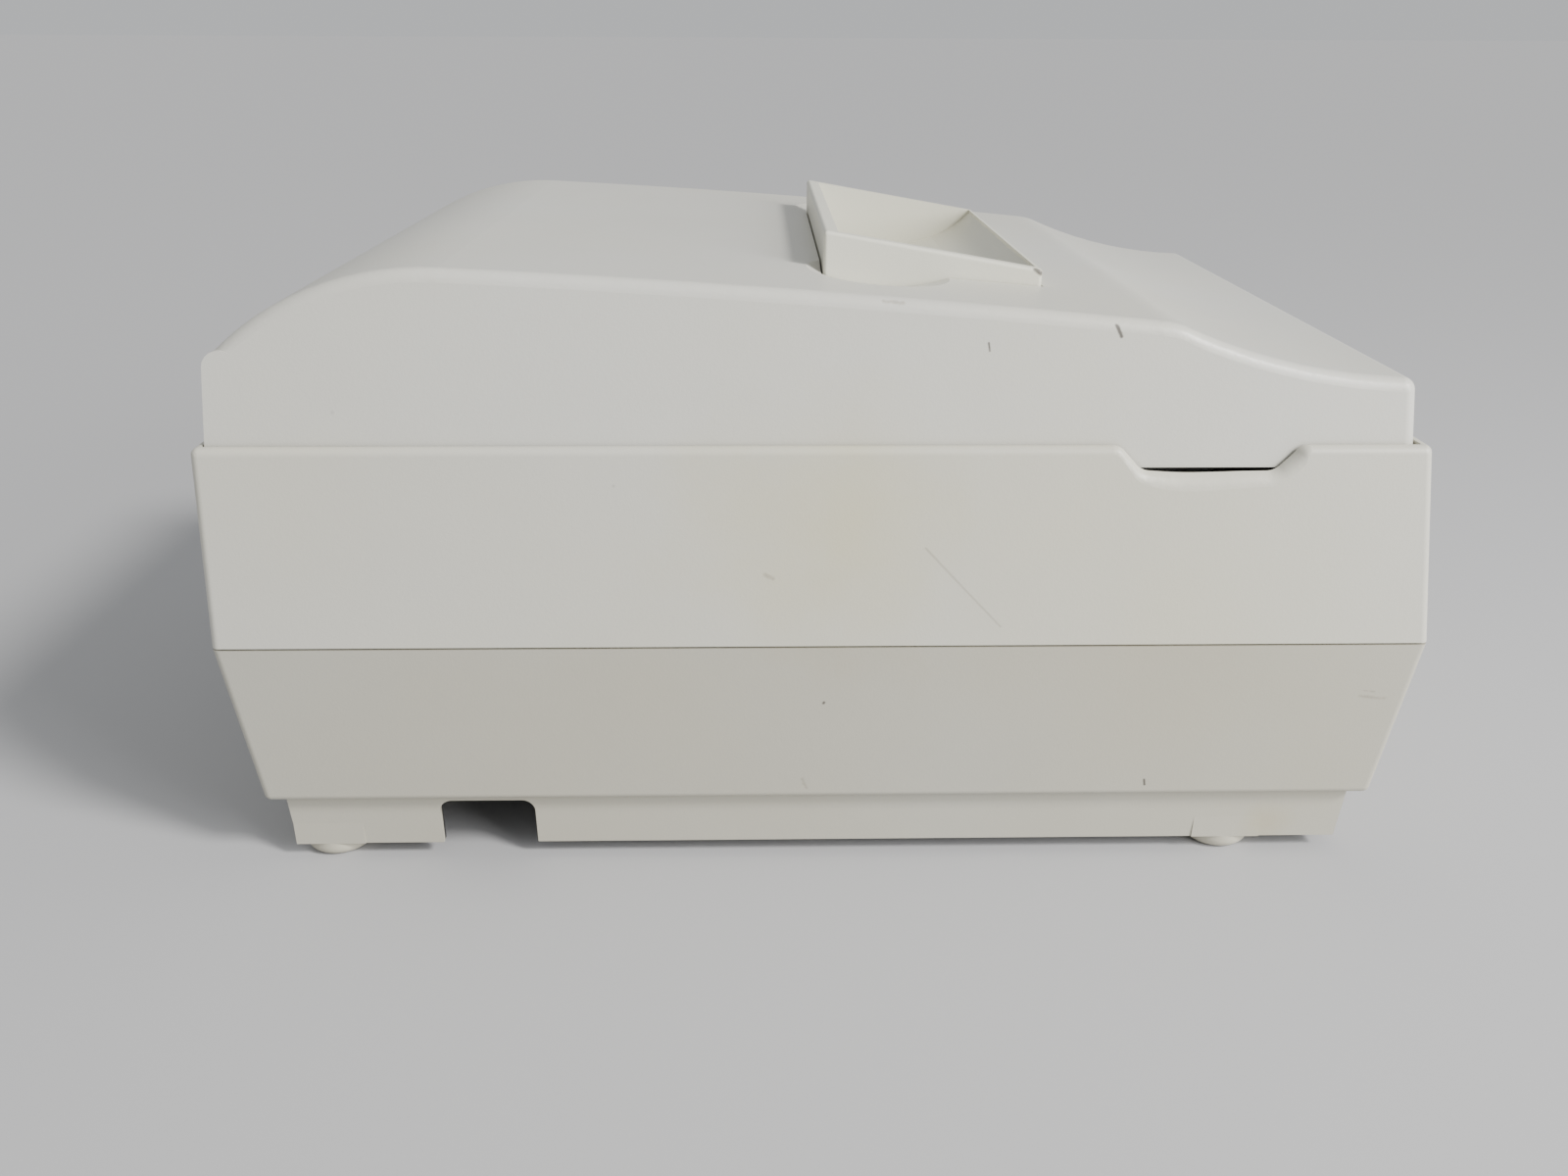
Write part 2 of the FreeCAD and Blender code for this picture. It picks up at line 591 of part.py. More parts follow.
def front_box(name, x, width, tall, deep):
    """A box square to the front face, centred on x, between two depths out of the face."""
    item = doc.addObject("Part::Box", name)
    bind(item, "Length", width)
    bind(item, "Width", tall)
    bind(item, "Height", f"({deep[1]}) - ({deep[0]})")
    return on_front(item, f"{x} - ({width}) / 2", deep[0], f"({tall}) / 2")


def front_rod(name, x, radius, deep):
    """A round piece square to the front face, between two depths out of the face."""
    item = doc.addObject("Part::Cylinder", name)
    bind(item, "Radius", radius)
    bind(item, "Height", f"({deep[1]}) - ({deep[0]})")
    return on_front(item, x, deep[0])


def make_buttons():
    """Sprung push buttons, each with a flange behind the face that keeps it in."""
    for node, x in button_places():
        cap = front_box(node + "_cap", x, "button_width", "button_tall", ("-button_stem", "button_out"))
        cap = rounded(node + "_rounded", cap, "0.8", lambda edge: True)
        flange = front_box(node + "_flange", x, "button_width + 3", "button_tall + 3",
                           ("-case_wall - 2.4", "-case_wall - 1"))
        part(node, join(node + "_body", cap, flange))


def make_lamps():
    lamps = [front_rod(f"lamp_{at}", x, "lamp_radius", ("-5", "0.4")) for at, x in lamp_places()]
    part("status_lamps", plain("StatusLamps", bundled(lamps)))


ROCKER_PIVOT = f"{HALF_DEPTH} - lower_draft_end / 2 - 1.5"


def make_power_switch():
    x = ("rocker_x - rocker_width / 2 - 0.9", "rocker_x + rocker_width / 2 + 0.9")
    y = (f"{HALF_DEPTH} - 11", f"{HALF_DEPTH} - lower_draft_end / 2 + 0.6")
    low, high = "rocker_height - rocker_tall / 2", "rocker_height + rocker_tall / 2"
    body = box("switch_body", x, y, (f"{low} - 0.9", f"{high} + 0.9"))
    hollow = box("switch_hollow", ("rocker_x - rocker_width / 2", "rocker_x + rocker_width / 2"),
                 (f"{HALF_DEPTH} - 9", f"{HALF_DEPTH} + 2"), (low, high))
    bore = rod("rocker_bore", X_AXIS, (x[0], ROCKER_PIVOT, "rocker_height"),
               "rocker_pin + running_gap", "rocker_width + 2")
    part("switch_housing", cut("SwitchHousing", body, hollow, bore))
    half = size("rocker_tall") / 2 - 1.4
    face = size(ROCKER_PIVOT) + 2.2
    tilt = math.tan(math.radians(size("rocker_tilt")))
    centre = size("rocker_height")
    across = ("rocker_x - rocker_width / 2 + 0.4", "rocker_x + rocker_width / 2 - 0.4")
    key = side_prism("rocker_key", across, (-face + half * tilt, centre + half),
                     [(-face - 0.6, centre), (-face - half * tilt + 0.4, centre - half),
                      (-face + 4.4, centre - half + 1), (-face + 4.4, centre + half - 1)])
    pin = rod("rocker_pin_rod", X_AXIS, ("rocker_x - rocker_width / 2 - 0.7", ROCKER_PIVOT, "rocker_height"),
              "rocker_pin", "rocker_width + 1.4")
    part("power_rocker", join("PowerRocker", key, pin))


# ---- Frames, roll and feed ----

FRAME_IN = "frame_out - frame_sheet"
ROLL = ("-roll_ahead", "roll_height")
FEED = ("-(paper_ahead - feed_radius)", "feed_height")
PINCH = ("-(paper_ahead + paper_gap + pinch_radius)", "feed_height")


def make_base_plate():
    plate = box("base_blank", ("-frame_out", "frame_out"), ("-base_front", "-base_rear"),
                ("base_height", "base_height + base_sheet"))
    holes = [rod(f"base_hole_{at}", Z_AXIS, (x, y, "base_height - 1"), "screw_radius + 0.1", "5")
             for at, (x, y) in enumerate(base_screw_places())]
    part("base_plate", cut("BasePlate", plate, *holes))
    screws = []
    for at, (x, y) in enumerate(base_screw_places()):
        shank = rod(f"base_shank_{at}", Z_AXIS, (x, y, "lower_bottom + 2"), "screw_radius - 0.02",
                    "base_height + base_sheet - lower_bottom - 2")
        head = rod(f"base_head_{at}", Z_AXIS, (x, y, "base_height + base_sheet"), "screw_head_radius", "1.8")
        screws.append(join(f"base_screw_{at}", shank, head))
    part("base_screws", plain("BaseScrews", bundled(screws)))


def make_case_screws():
    screws = []
    for at, (x, y) in enumerate(screw_places()):
        shank = rod(f"case_shank_{at}", Z_AXIS, (x, y, "lower_bottom - 0.2"), "screw_radius - 0.02",
                    "seam_height - lower_bottom + 8")
        head = rod(f"case_head_{at}", Z_AXIS, (x, y, "lower_bottom - 2.2"), "screw_head_radius", "2.2")
        screws.append(join(f"case_screw_{at}", shank, head))
    part("case_screws", plain("CaseScrews", bundled(screws)))


def frame_bores():
    """Each shaft that a side frame carries: its place and radius."""
    return (("spindle", ROLL, "spindle_end_radius + running_gap"),
            ("feed", FEED, "feed_shaft_radius + running_gap"),
            ("pinch", PINCH, "pinch_shaft_radius + running_gap"),
            ("rod", ("-rod_ahead", "rod_height"), "rod_radius"))


def make_side_frames():
    """Sheet plates that stand on the base plate and carry every shaft."""
    foot = size("base_height + base_sheet")
    for side, x in (("left", ("-frame_out", f"-({FRAME_IN})")), ("right", (FRAME_IN, "frame_out"))):
        sheet = side_prism(f"{side}_sheet", x, (size("base_rear + 2"), foot),
                           [(size("roll_ahead") - 12, size("roll_height") - 12),
                            (size("roll_ahead") - 10, size("roll_height") + 10),
                            (size("roll_ahead") + 12, size("roll_height") + 10),
                            (-14, size("platen_top")), (size("rail_ahead") + 14, size("rail_height") + 4),
                            (size("base_front") - 4, foot + 30), (size("base_front") - 4, foot)])
        low = f"{x[0]} - 1"
        bores = [rod(f"{side}_{name}_bore", X_AXIS, (low, *spot), radius, "frame_sheet + 2")
                 for name, spot, radius in frame_bores()]
        ahead, height = gear_centres()[-1]
        motor_hole = plain(f"{side}_motor_hole", Part.makeCylinder(2.5, size("case_width"), Vector(
            -size(HALF_WIDTH), -ahead, height), Vector(1, 0, 0)))
        part(f"{side}_side_frame", cut(f"{side}_frame", sheet, *bores, motor_hole))


def tube(name, x, spot, outer, inner):
    """A ring along x between two expressions."""
    length = f"({x[1]}) - ({x[0]})"
    solid = rod(name + "_solid", X_AXIS, (x[0], *spot), outer, length)
    hollow = rod(name + "_hollow", X_AXIS, (f"{x[0]} - 1", *spot), inner, f"{length} + 2")
    return cut(name, solid, hollow)


def make_paper_roll():
    wide = ("-roll_width / 2", "roll_width / 2")
    part("paper_roll", tube("Paper", wide, ROLL, "roll_radius", "core_radius"))
    part("roll_core", tube("Core", wide, ROLL, "core_radius", "core_radius - core_wall"))
    bar = rod("spindle_bar", X_AXIS, ("-roll_width / 2 - 4", *ROLL), "spindle_radius", "roll_width + 8")
    ends = rod("spindle_ends", X_AXIS, ("-frame_out - 1", *ROLL), "spindle_end_radius", "2 * frame_out + 2")
    flanges = [rod(f"spindle_flange_{side}", X_AXIS, (x, *ROLL), "core_radius + 8", "2")
               for side, x in (("left", "-roll_width / 2 - 2.5"), ("right", "roll_width / 2 + 0.5"))]
    part("roll_spindle", join("Spindle", bar, ends, *flanges))


def make_feed_rollers():
    wide = ("-feed_width / 2", "feed_width / 2")
    part("feed_roller", tube("FeedRubber", wide, FEED, "feed_radius", "feed_shaft_radius"))
    part("feed_shaft", rod("FeedShaft", X_AXIS, ("-frame_out - gear_width - 2", *FEED), "feed_shaft_radius",
                           "2 * frame_out + gear_width + 3"))
    part("pinch_roller", tube("PinchRubber", wide, PINCH, "pinch_radius", "pinch_shaft_radius"))
    part("pinch_shaft", rod("PinchShaft", X_AXIS, ("-frame_out - 1", *PINCH), "pinch_shaft_radius",
                            "2 * frame_out + 2"))


def gear_outline(teeth, tooth_at):
    """One involute gear's outline in (ahead, height) about its own centre; tooth_at is in radians."""
    module = size("gear_module")
    pitch = module * teeth / 2
    pressure = math.radians(20)
    base = pitch * math.cos(pressure)
    tip, root = pitch + 0.9 * module, pitch - 1.15 * module
    half_tooth = (math.pi * module / 2 - size("mesh_slack")) / (2 * pitch)
    spread = half_tooth + math.tan(pressure) - pressure

    def flank(radius):
        turn = math.acos(min(1, base / radius))
        return spread - (math.tan(turn) - turn)

    start = max(base, root + 0.05)

    def point(radius, angle):
        return Vector(radius * math.cos(angle), radius * math.sin(angle), 0)

    edges = []
    halfway = (start + tip) / 2
    step = 2 * math.pi / teeth
    for tooth in range(teeth):
        middle = tooth_at + tooth * step
        rising = [point(root, middle - flank(start)), point(start, middle - flank(start)),
                  point(halfway, middle - flank(halfway)), point(tip, middle - flank(tip))]
        falling = [point(tip, middle + flank(tip)), point(halfway, middle + flank(halfway)),
                   point(start, middle + flank(start)), point(root, middle + flank(start))]
        following = point(root, middle + step - flank(start))
        edges += [Part.LineSegment(rising[0], rising[1]), Part.Arc(*rising[1:]),
                  Part.Arc(rising[3], point(tip, middle), falling[0]), Part.Arc(*falling[:3]),
                  Part.LineSegment(falling[2], falling[3]),
                  Part.Arc(falling[3], point(root, middle + step / 2), following)]
    return Part.Wire([edge.toShape() for edge in edges])


def make_gear(node, teeth, spot, tooth_at, bore):
    """A toothed wheel just outside the left frame, with its bore."""
    face = Part.Face(gear_outline(teeth, tooth_at))
    disc = face.extrude(Vector(0, 0, size("gear_width")))
    hole = Part.makeCylinder(bore, size("gear_width") + 2, Vector(0, 0, -1))
    gear = plain(node + "_gear", disc.cut(hole))
    ahead, height = spot
    gear.Placement = Placement(Vector(-size("frame_out") - 0.5, -ahead, height), SIDE_ON)
    part(node, gear)


def mesh_angle(teeth_a, angle_a, teeth_b, toward):
    """Where gear b needs a tooth so that it meshes with gear a, which sees it in direction toward."""
    phase = ((toward - angle_a) / (2 * math.pi / teeth_a)) % 1
    return toward + math.pi - (0.5 - phase) * 2 * math.pi / teeth_b


def teeth_counts():
    return tuple(int(size(name)) for name in ("roller_teeth", "idler_teeth", "pinion_teeth"))


TO_IDLER = math.radians(-100)
TO_PINION = math.radians(20)


def gear_centres():
    """The roller gear's, idler's and pinion's centres as (ahead, height)."""
    roller, idler, pinion = teeth_counts()
    centres = [(size("paper_ahead - feed_radius"), size("feed_height"))]
    for first, second, toward in ((roller, idler, TO_IDLER), (idler, pinion, TO_PINION)):
        reach = size("gear_module") * (first + second) / 2
        ahead, height = centres[-1]
        centres.append((ahead + reach * math.cos(toward), height + reach * math.sin(toward)))
    return centres


def make_feed_drive():
    """Pinion, idler and roller gear in mesh, and the motor that turns the pinion."""
    roller, idler, pinion = teeth_counts()
    feed, idle, drive = gear_centres()
    idler_at = mesh_angle(roller, 0, idler, TO_IDLER)
    pinion_at = mesh_angle(idler, idler_at, pinion, TO_PINION)
    make_gear("feed_roller_gear", roller, feed, 0, size("feed_shaft_radius"))
    make_gear("feed_idler_gear", idler, idle, idler_at, 2 + size("running_gap"))
    make_gear("feed_pinion", pinion, drive, pinion_at, 1)
    left = size("frame_out")
    stud = Part.makeCylinder(2, size("gear_width") + 1.5, Vector(-left, -idle[0], idle[1]), Vector(-1, 0, 0))
    part("idler_stud", plain("IdlerStud", stud))
    length, radius = size("feed_motor_length"), size("feed_motor_radius")
    inner = -left + size("frame_sheet")
    along = Vector(1, 0, 0)
    can = Part.makeCylinder(radius, length, Vector(inner, -drive[0], drive[1]), along)
    axle_end = Vector(-left - size("gear_width") - 1, -drive[0], drive[1])
    axle = Part.makeCylinder(1, length, axle_end, along)
    flange = Part.makeBox(1.2, 2 * radius + 12, 8, Vector(inner, -drive[0] - radius - 6, drive[1] - 4))
    part("feed_motor", plain("FeedMotor", can.fuse([flange])))
    part("feed_motor_shaft", plain("FeedMotorShaft", axle.cut(can)))


# ---- Printing ----

def make_platen():
    rear = "-(paper_ahead - platen_sheet - 0.5)"
    plate = box("platen_plate", (f"-({FRAME_IN})", "carriage_park - carriage_width / 2 - 2"),
                ("-(paper_ahead - 0.5)", rear), ("platen_bottom", "platen_top"))
    ribs = [box(f"platen_rib_{at}", (f"{x} - 0.6", f"{x} + 0.6"), (rear, f"{rear} + 4"),
                ("platen_bottom + 2", "platen_top - 2")) for at, x in enumerate(("-55", "-35", "-15", "5", "25"))]
    part("platen", join("Platen", plate, *ribs))
    blade = box("tear_blade", (f"-({FRAME_IN})", "carriage_park - carriage_width / 2 - 2"),
                (f"{rear} + 0", f"{rear} + 1"), ("platen_top", "platen_top + 6"))
    notches = []
    for at in range(22):
        x = f"-({FRAME_IN}) + {4 * at + 2}"
        notches.append(box(f"tear_notch_{at}", (x, f"{x} + 2"), (f"{rear} - 1", f"{rear} + 3"),
                           ("platen_top + 4.6", "platen_top + 8")))
    part("tear_bar", cut("TearBar", blade, *notches))


def make_rails():
    part("guide_rod", rod("GuideRod", X_AXIS, ("-frame_out - 1", "-rod_ahead", "rod_height"), "rod_radius",
                          "2 * frame_out + 2"))
    part("guide_rail", box("GuideRail", (f"-({FRAME_IN})", FRAME_IN), ("-(rail_ahead + 3)", "-rail_ahead"),
                           ("rail_height - 16", "rail_height")))


CARRIAGE_X = ("carriage_park - carriage_width / 2", "carriage_park + carriage_width / 2")
CARRIAGE_REAR = "rod_ahead - 14"
LATCH_AHEAD = "rod_ahead + 31.4"


def make_carriage():
    front = f"{CARRIAGE_REAR} + carriage_length"
    tray = box("carriage_tray", CARRIAGE_X, (f"-({front})", f"-({CARRIAGE_REAR})"),
               ("carriage_bottom", "carriage_top"))
    seat = box("carriage_seat", ("carriage_park - carriage_width / 2 + carriage_wall",
                                 "carriage_park + carriage_width / 2 - carriage_wall"),
               (f"-({front} - carriage_wall)", f"-({CARRIAGE_REAR} - 5)"),
               ("rod_height + rod_radius + 3", "carriage_top + 9"))
    bore = rod("carriage_bore", X_AXIS, ("carriage_park - carriage_width", "-rod_ahead", "rod_height"),
               "rod_radius + running_gap", "2 * carriage_width")
    shoe = box("carriage_shoe", ("carriage_park + 9", CARRIAGE_X[1]),
               ("-(rail_ahead - 0.4)", f"-({front} - 1)"), ("rail_height - 16", "rail_height - 6"))
    arm_x = (CARRIAGE_X[0], f"{CARRIAGE_X[0]} + 8")
    clip = "belt_ahead - pulley_radius - running_gap - belt_sheet - 0.4"
    arm = box("belt_arm", arm_x, (f"-({clip})", f"-({front} - 1)"), ("rail_height - 22", "rail_height - 18.4"))
    grip = box("belt_clip", arm_x, (f"-({clip})", f"-({clip} - 0.8)"), ("rail_height - 22", "belt_height + 4"))
    ears = [box(f"latch_ear_{side}", (f"carriage_park + {low}", f"carriage_park + {low} + 1.8"),
                (f"-({front} + 3.2)", f"-({front} - 2)"), ("carriage_top - 8", "latch_height + 2.2"))
            for side, low in (("left", "-8.2"), ("right", "6.4"))]
    latch_bore = rod("latch_bore", X_AXIS, ("carriage_park - 10", f"-({LATCH_AHEAD})", "latch_height"),
                     "0.8 + running_gap", "20")
    solid = join("carriage_solid", tray, shoe, arm, grip, *ears)
    part("print_carriage", cut("Carriage", solid, seat, bore, latch_bore))
    inside = ("carriage_park - carriage_width / 2 + carriage_wall + 0.4",
              "carriage_park + carriage_width / 2 - carriage_wall - 0.4")
    tank = box("cartridge_tank", inside, (f"-({front} - carriage_wall - 0.4)", f"-({CARRIAGE_REAR} - 2)"),
               ("rod_height + rod_radius + 3", "carriage_top + 4"))
    nose = box("cartridge_nose", ("carriage_park - 7", "carriage_park + 7"),
               (f"-({CARRIAGE_REAR})", "-(paper_ahead + head_gap)"),
               ("rod_height + rod_radius + 5", "rod_height + rod_radius + 21"))
    solid = join("cartridge_solid", tank, nose)
    part("ink_cartridge", solid)


def make_latch():
    """A flap hinged at the carriage's front that holds the cartridge down."""
    barrel = rod("latch_barrel", X_AXIS, ("carriage_park - 6", f"-({LATCH_AHEAD})", "latch_height"), "1.4", "12")
    pin = rod("latch_pin", X_AXIS, ("carriage_park - 8.4", f"-({LATCH_AHEAD})", "latch_height"), "0.8", "16.8")
    flap = box("latch_flap", ("carriage_park - 6", "carriage_park + 6"),
               (f"-({LATCH_AHEAD})", f"-({LATCH_AHEAD} - 11)"), ("latch_height - 0.9", "latch_height + 0.9"))
    part("cartridge_latch", join("CartridgeLatch", barrel, pin, flap))


def make_belt_drive():
    """The carriage motor's pulley, the idler pulley and the toothed belt's loop."""
    level = ("-(belt_ahead)", "belt_height")
    radius, out = size("pulley_radius"), size("pulley_out")
    ahead, height = size("belt_ahead"), size("belt_height")
    width, sheet = size("belt_width"), size("belt_sheet")

    def loop(reach):
        """A flat oval about both pulleys, lying in the horizontal plane."""
        near = [Vector(-out, -ahead - reach, 0), Vector(out, -ahead - reach, 0)]
        far = [Vector(out, -ahead + reach, 0), Vector(-out, -ahead + reach, 0)]
        edges = [Part.LineSegment(*near), Part.Arc(near[1], Vector(out + reach, -ahead, 0), far[0]),
                 Part.LineSegment(*far), Part.Arc(far[1], Vector(-out - reach, -ahead, 0), near[0])]
        return Part.Face(Part.Wire([edge.toShape() for edge in edges])).extrude(Vector(0, 0, width))

    slack = size("running_gap")
    belt = loop(radius + slack + sheet).cut(loop(radius + slack))
    belt.translate(Vector(0, 0, height - width / 2))
    part("timing_belt", plain("TimingBelt", belt))
    for node, x in (("drive_pulley", "pulley_out"), ("idler_pulley", "-pulley_out")):
        drum = rod(node + "_drum", Z_AXIS, (x, level[0], "belt_height - belt_width / 2 - 0.4"), "pulley_radius",
                   "belt_width + 0.8")
        lips = [rod(f"{node}_lip_{at}", Z_AXIS, (x, level[0], z), "pulley_radius + 1.2", "1")
                for at, z in enumerate(("belt_height - belt_width / 2 - 1.4", "belt_height + belt_width / 2 + 0.4"))]
        hole = rod(node + "_hole", Z_AXIS, (x, level[0], "belt_height - 9"), "1.5 + running_gap", "18")
        part(node, cut(node + "_wheel", join(node + "_solid", drum, *lips), hole))
    make_carriage_motor(level[0])


def make_carriage_motor(y):
    top = "belt_height - belt_width / 2 - 2.4"
    can = rod("carriage_motor_can", Z_AXIS, ("pulley_out", y, f"{top} - carriage_motor_length"),
              "carriage_motor_radius", "carriage_motor_length")
    plate = box("carriage_motor_plate", ("pulley_out - 13", FRAME_IN), (f"{y} - 12", f"{y} + 8.5"),
                (f"{top} - 1.2", top))
    axle = rod("carriage_motor_axle", Z_AXIS, ("pulley_out", y, f"{top} - 1"), "1.5", "belt_width + 8")
    part("carriage_motor", join("CarriageMotor", can, plate, axle))
    bracket = box("idler_shelf", (f"-({FRAME_IN})", "-pulley_out + 12"), (f"{y} - 8", f"{y} + 7"),
                  (f"{top} - 1.2", top))
    post = rod("idler_post", Z_AXIS, ("-pulley_out", y, f"{top} - 1"), "1.5", "belt_width + 8")
    part("idler_bracket", join("IdlerBracket", bracket, post))


def make_ink_service():
    x = ("carriage_park - 11", "carriage_park + 11")
    nose = "rod_height + rod_radius + 5"
    cup = box("cap_block", x, ("-(paper_ahead + head_gap - 0.8)", "4"), (f"{nose} - 4", f"{nose} + 22"))
    post = box("cap_post", ("carriage_park - 6", "carriage_park + 6"), ("-2", "4"),
               ("feed_height + feed_radius + 2", f"{nose}"))
    dish = box("cap_dish", ("carriage_park - 8.5", "carriage_park + 8.5"),
               ("-(paper_ahead + head_gap)", "-(paper_ahead + head_gap - 3)"), (f"{nose} - 1.5", f"{nose} + 17.5"))
    part("capping_station", cut("CappingStation", join("cap_solid", cup, post), dish))
    part("waste_ink_pad", box("WasteInkPad", ("20", "frame_out - 12"), ("-98", "-34"),
                              ("base_height + base_sheet + 2", "base_height + base_sheet + 12")))


# ---- Electronics ----

BOARD_X = ("bay_right + bay_wall + 2", "frame_out - 6")
BOARD_TOP = "board_height + board_sheet"


def make_board():
    board = box("board_blank", BOARD_X, ("24", "118"), ("board_height", BOARD_TOP))
    posts = [rod(f"board_post_{at}", Z_AXIS, (x, y, "lower_bottom + floor_thickness"), "3",
                 "board_height - lower_bottom - floor_thickness")
             for at, (x, y) in enumerate((("-6", "30"), ("60", "30"), ("-6", "112"), ("60", "112")))]
    part("circuit_board", board)
    part("board_posts", plain("BoardPosts", bundled(posts)))
    chips = [("main_chip", 20, 62, 20, 20, 3), ("memory_chip", 44, 62, 12, 8, 2), ("driver_chip", 20, 36, 10, 18, 2.5),
             ("regulator", 52, 96, 10, 15, 9), ("flash_chip", 46, 44, 8, 12, 2)]
    pieces = [box(name, (f"{x}", f"{x + wide}"), (f"{y}", f"{y + deep}"), (BOARD_TOP, f"{BOARD_TOP} + {tall}"))
              for name, x, y, wide, deep, tall in chips]
    cans = [rod(f"capacitor_{at}", Z_AXIS, (x, y, BOARD_TOP), "4", "11")
            for at, (x, y) in enumerate((("6", "106"), ("18", "106"), ("30", "106"), ("0", "46")))]
    part("board_components", plain("BoardComponents", bundled(pieces + cans)))


def make_sockets():
    mouth = "bay_right - 1.2"
    shell = box("data_shell", (mouth, "bay_right + bay_wall + 1.6"), ("notch_front - 0.6", "notch_front + 12.6"),
                ("lower_bottom + 5.4", "lower_bottom + 17.6"))
    room = box("data_room", (f"{mouth} - 1", "bay_right + bay_wall + 0.6"), ("notch_front + 1", "notch_front + 11"),
               ("lower_bottom + 7", "lower_bottom + 16"))
    part("data_connector", cut("DataConnector", shell, room))
    spot = ("notch_rear - 3", "board_height + 1")
    barrel = rod("inlet_barrel", X_AXIS, (mouth, *spot), "3.9", "bay_wall + 2.8")
    bore = rod("inlet_bore", X_AXIS, (f"{mouth} - 1", *spot), "2.6", "bay_wall + 2.4")
    pin = rod("inlet_pin", X_AXIS, (f"{mouth} + 0.6", *spot), "0.9", "bay_wall + 1.8")
    part("power_inlet", join("PowerInlet", cut("inlet_socket", barrel, bore), pin))


def main():
    make_lower_case()
    make_mid_case()
    make_feet()
    make_top_cover()
    make_chute()
    make_hinge_pins()
    make_buttons()
    make_lamps()
    make_power_switch()
    make_base_plate()
    make_case_screws()
    make_side_frames()
    make_paper_roll()
    make_feed_rollers()
    make_feed_drive()
    make_platen()
    make_rails()
    make_carriage()
    make_latch()
    make_belt_drive()
    make_ink_service()
    make_board()
    make_sockets()
    doc.recompute()
    for item in doc.Objects:
        if {"Invalid", "Error"} & set(item.State):
            raise RuntimeError(f"{item.Label} failed: {item.State}")
    for item in PARTS:
        if item.Shape.isNull() or not item.Shape.isValid():
            raise RuntimeError(f"{item.Label} has no valid shape")
    os.makedirs("parts", exist_ok=True)
    for item in PARTS:
        item.Shape.exportStep(os.path.join("parts", item.Label + ".step"))
    print(len(PARTS), "parts written")


main()
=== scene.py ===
"""Looks for the desktop inkjet receipt printer: materials, small fittings, a pale floor and soft light."""

import json
import math

import bmesh
import bpy
from mathutils import Euler, Matrix, Vector


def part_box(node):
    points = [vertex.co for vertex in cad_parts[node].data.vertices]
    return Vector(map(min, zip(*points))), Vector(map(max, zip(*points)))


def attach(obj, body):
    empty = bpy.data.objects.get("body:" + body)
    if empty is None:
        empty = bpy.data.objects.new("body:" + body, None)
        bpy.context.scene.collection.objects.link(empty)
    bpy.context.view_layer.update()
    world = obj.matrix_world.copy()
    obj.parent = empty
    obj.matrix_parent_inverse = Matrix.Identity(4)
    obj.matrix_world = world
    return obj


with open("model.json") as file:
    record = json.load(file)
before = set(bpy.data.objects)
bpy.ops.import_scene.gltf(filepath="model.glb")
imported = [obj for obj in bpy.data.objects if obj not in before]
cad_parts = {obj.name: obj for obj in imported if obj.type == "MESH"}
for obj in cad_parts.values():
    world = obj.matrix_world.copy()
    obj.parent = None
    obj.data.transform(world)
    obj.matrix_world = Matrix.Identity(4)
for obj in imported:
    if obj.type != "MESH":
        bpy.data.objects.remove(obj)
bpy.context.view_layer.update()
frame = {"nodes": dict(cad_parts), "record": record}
nodes = frame["nodes"]

MM = 0.001


# ---- Shader building ----

def new_group(name, *outputs):
    """An empty node group that puts out named values; returns it with its output end."""
    group = bpy.data.node_groups.new(name, "ShaderNodeTree")
    for label in outputs:
        group.interface.new_socket(label, in_out="OUTPUT", socket_type="NodeSocketFloat")
    return group, group.nodes.new("NodeGroupOutput")


def link(tree, source, target):
    tree.links.new(source, target)


def object_point(tree):
    return tree.nodes.new("ShaderNodeTexCoord").outputs["Object"]


def noise(tree, point, scale, detail=3.0, rough=0.5, lift=(0, 0, 0), stretch=(1, 1, 1)):
    """Noise over the object's own metres; the scale is in waves per metre."""
    place = tree.nodes.new("ShaderNodeMapping")
    place.inputs["Location"].default_value = lift
    place.inputs["Scale"].default_value = stretch
    link(tree, point, place.inputs["Vector"])
    item = tree.nodes.new("ShaderNodeTexNoise")
    item.inputs["Scale"].default_value = scale
    item.inputs["Detail"].default_value = detail
    item.inputs["Roughness"].default_value = rough
    link(tree, place.outputs["Vector"], item.inputs["Vector"])
    return item.outputs["Fac"]


def remap(tree, value, low, high, to_low=0.0, to_high=1.0):
    item = tree.nodes.new("ShaderNodeMapRange")
    item.inputs["From Min"].default_value = low
    item.inputs["From Max"].default_value = high
    item.inputs["To Min"].default_value = to_low
    item.inputs["To Max"].default_value = to_high
    link(tree, value, item.inputs["Value"])
    return item.outputs["Result"]


def maths(tree, kind, first, second=0):
    item = tree.nodes.new("ShaderNodeMath")
    item.operation = kind
    for socket, value in zip(item.inputs, (first, second)):
        if isinstance(value, (int, float)):
            socket.default_value = value
        else:
            link(tree, value, socket)
    return item.outputs["Value"]


def mixed(tree, share, first, second):
    """A colour mix; each colour is a socket or three numbers."""
    item = tree.nodes.new("ShaderNodeMix")
    item.data_type = "RGBA"
    if isinstance(share, (int, float)):
        item.inputs[0].default_value = share
    else:
        link(tree, share, item.inputs[0])
    for socket, colour in ((item.inputs[6], first), (item.inputs[7], second)):
        if isinstance(colour, tuple):
            socket.default_value = (*colour, 1)
        else:
            link(tree, colour, socket)
    return item.outputs[2]


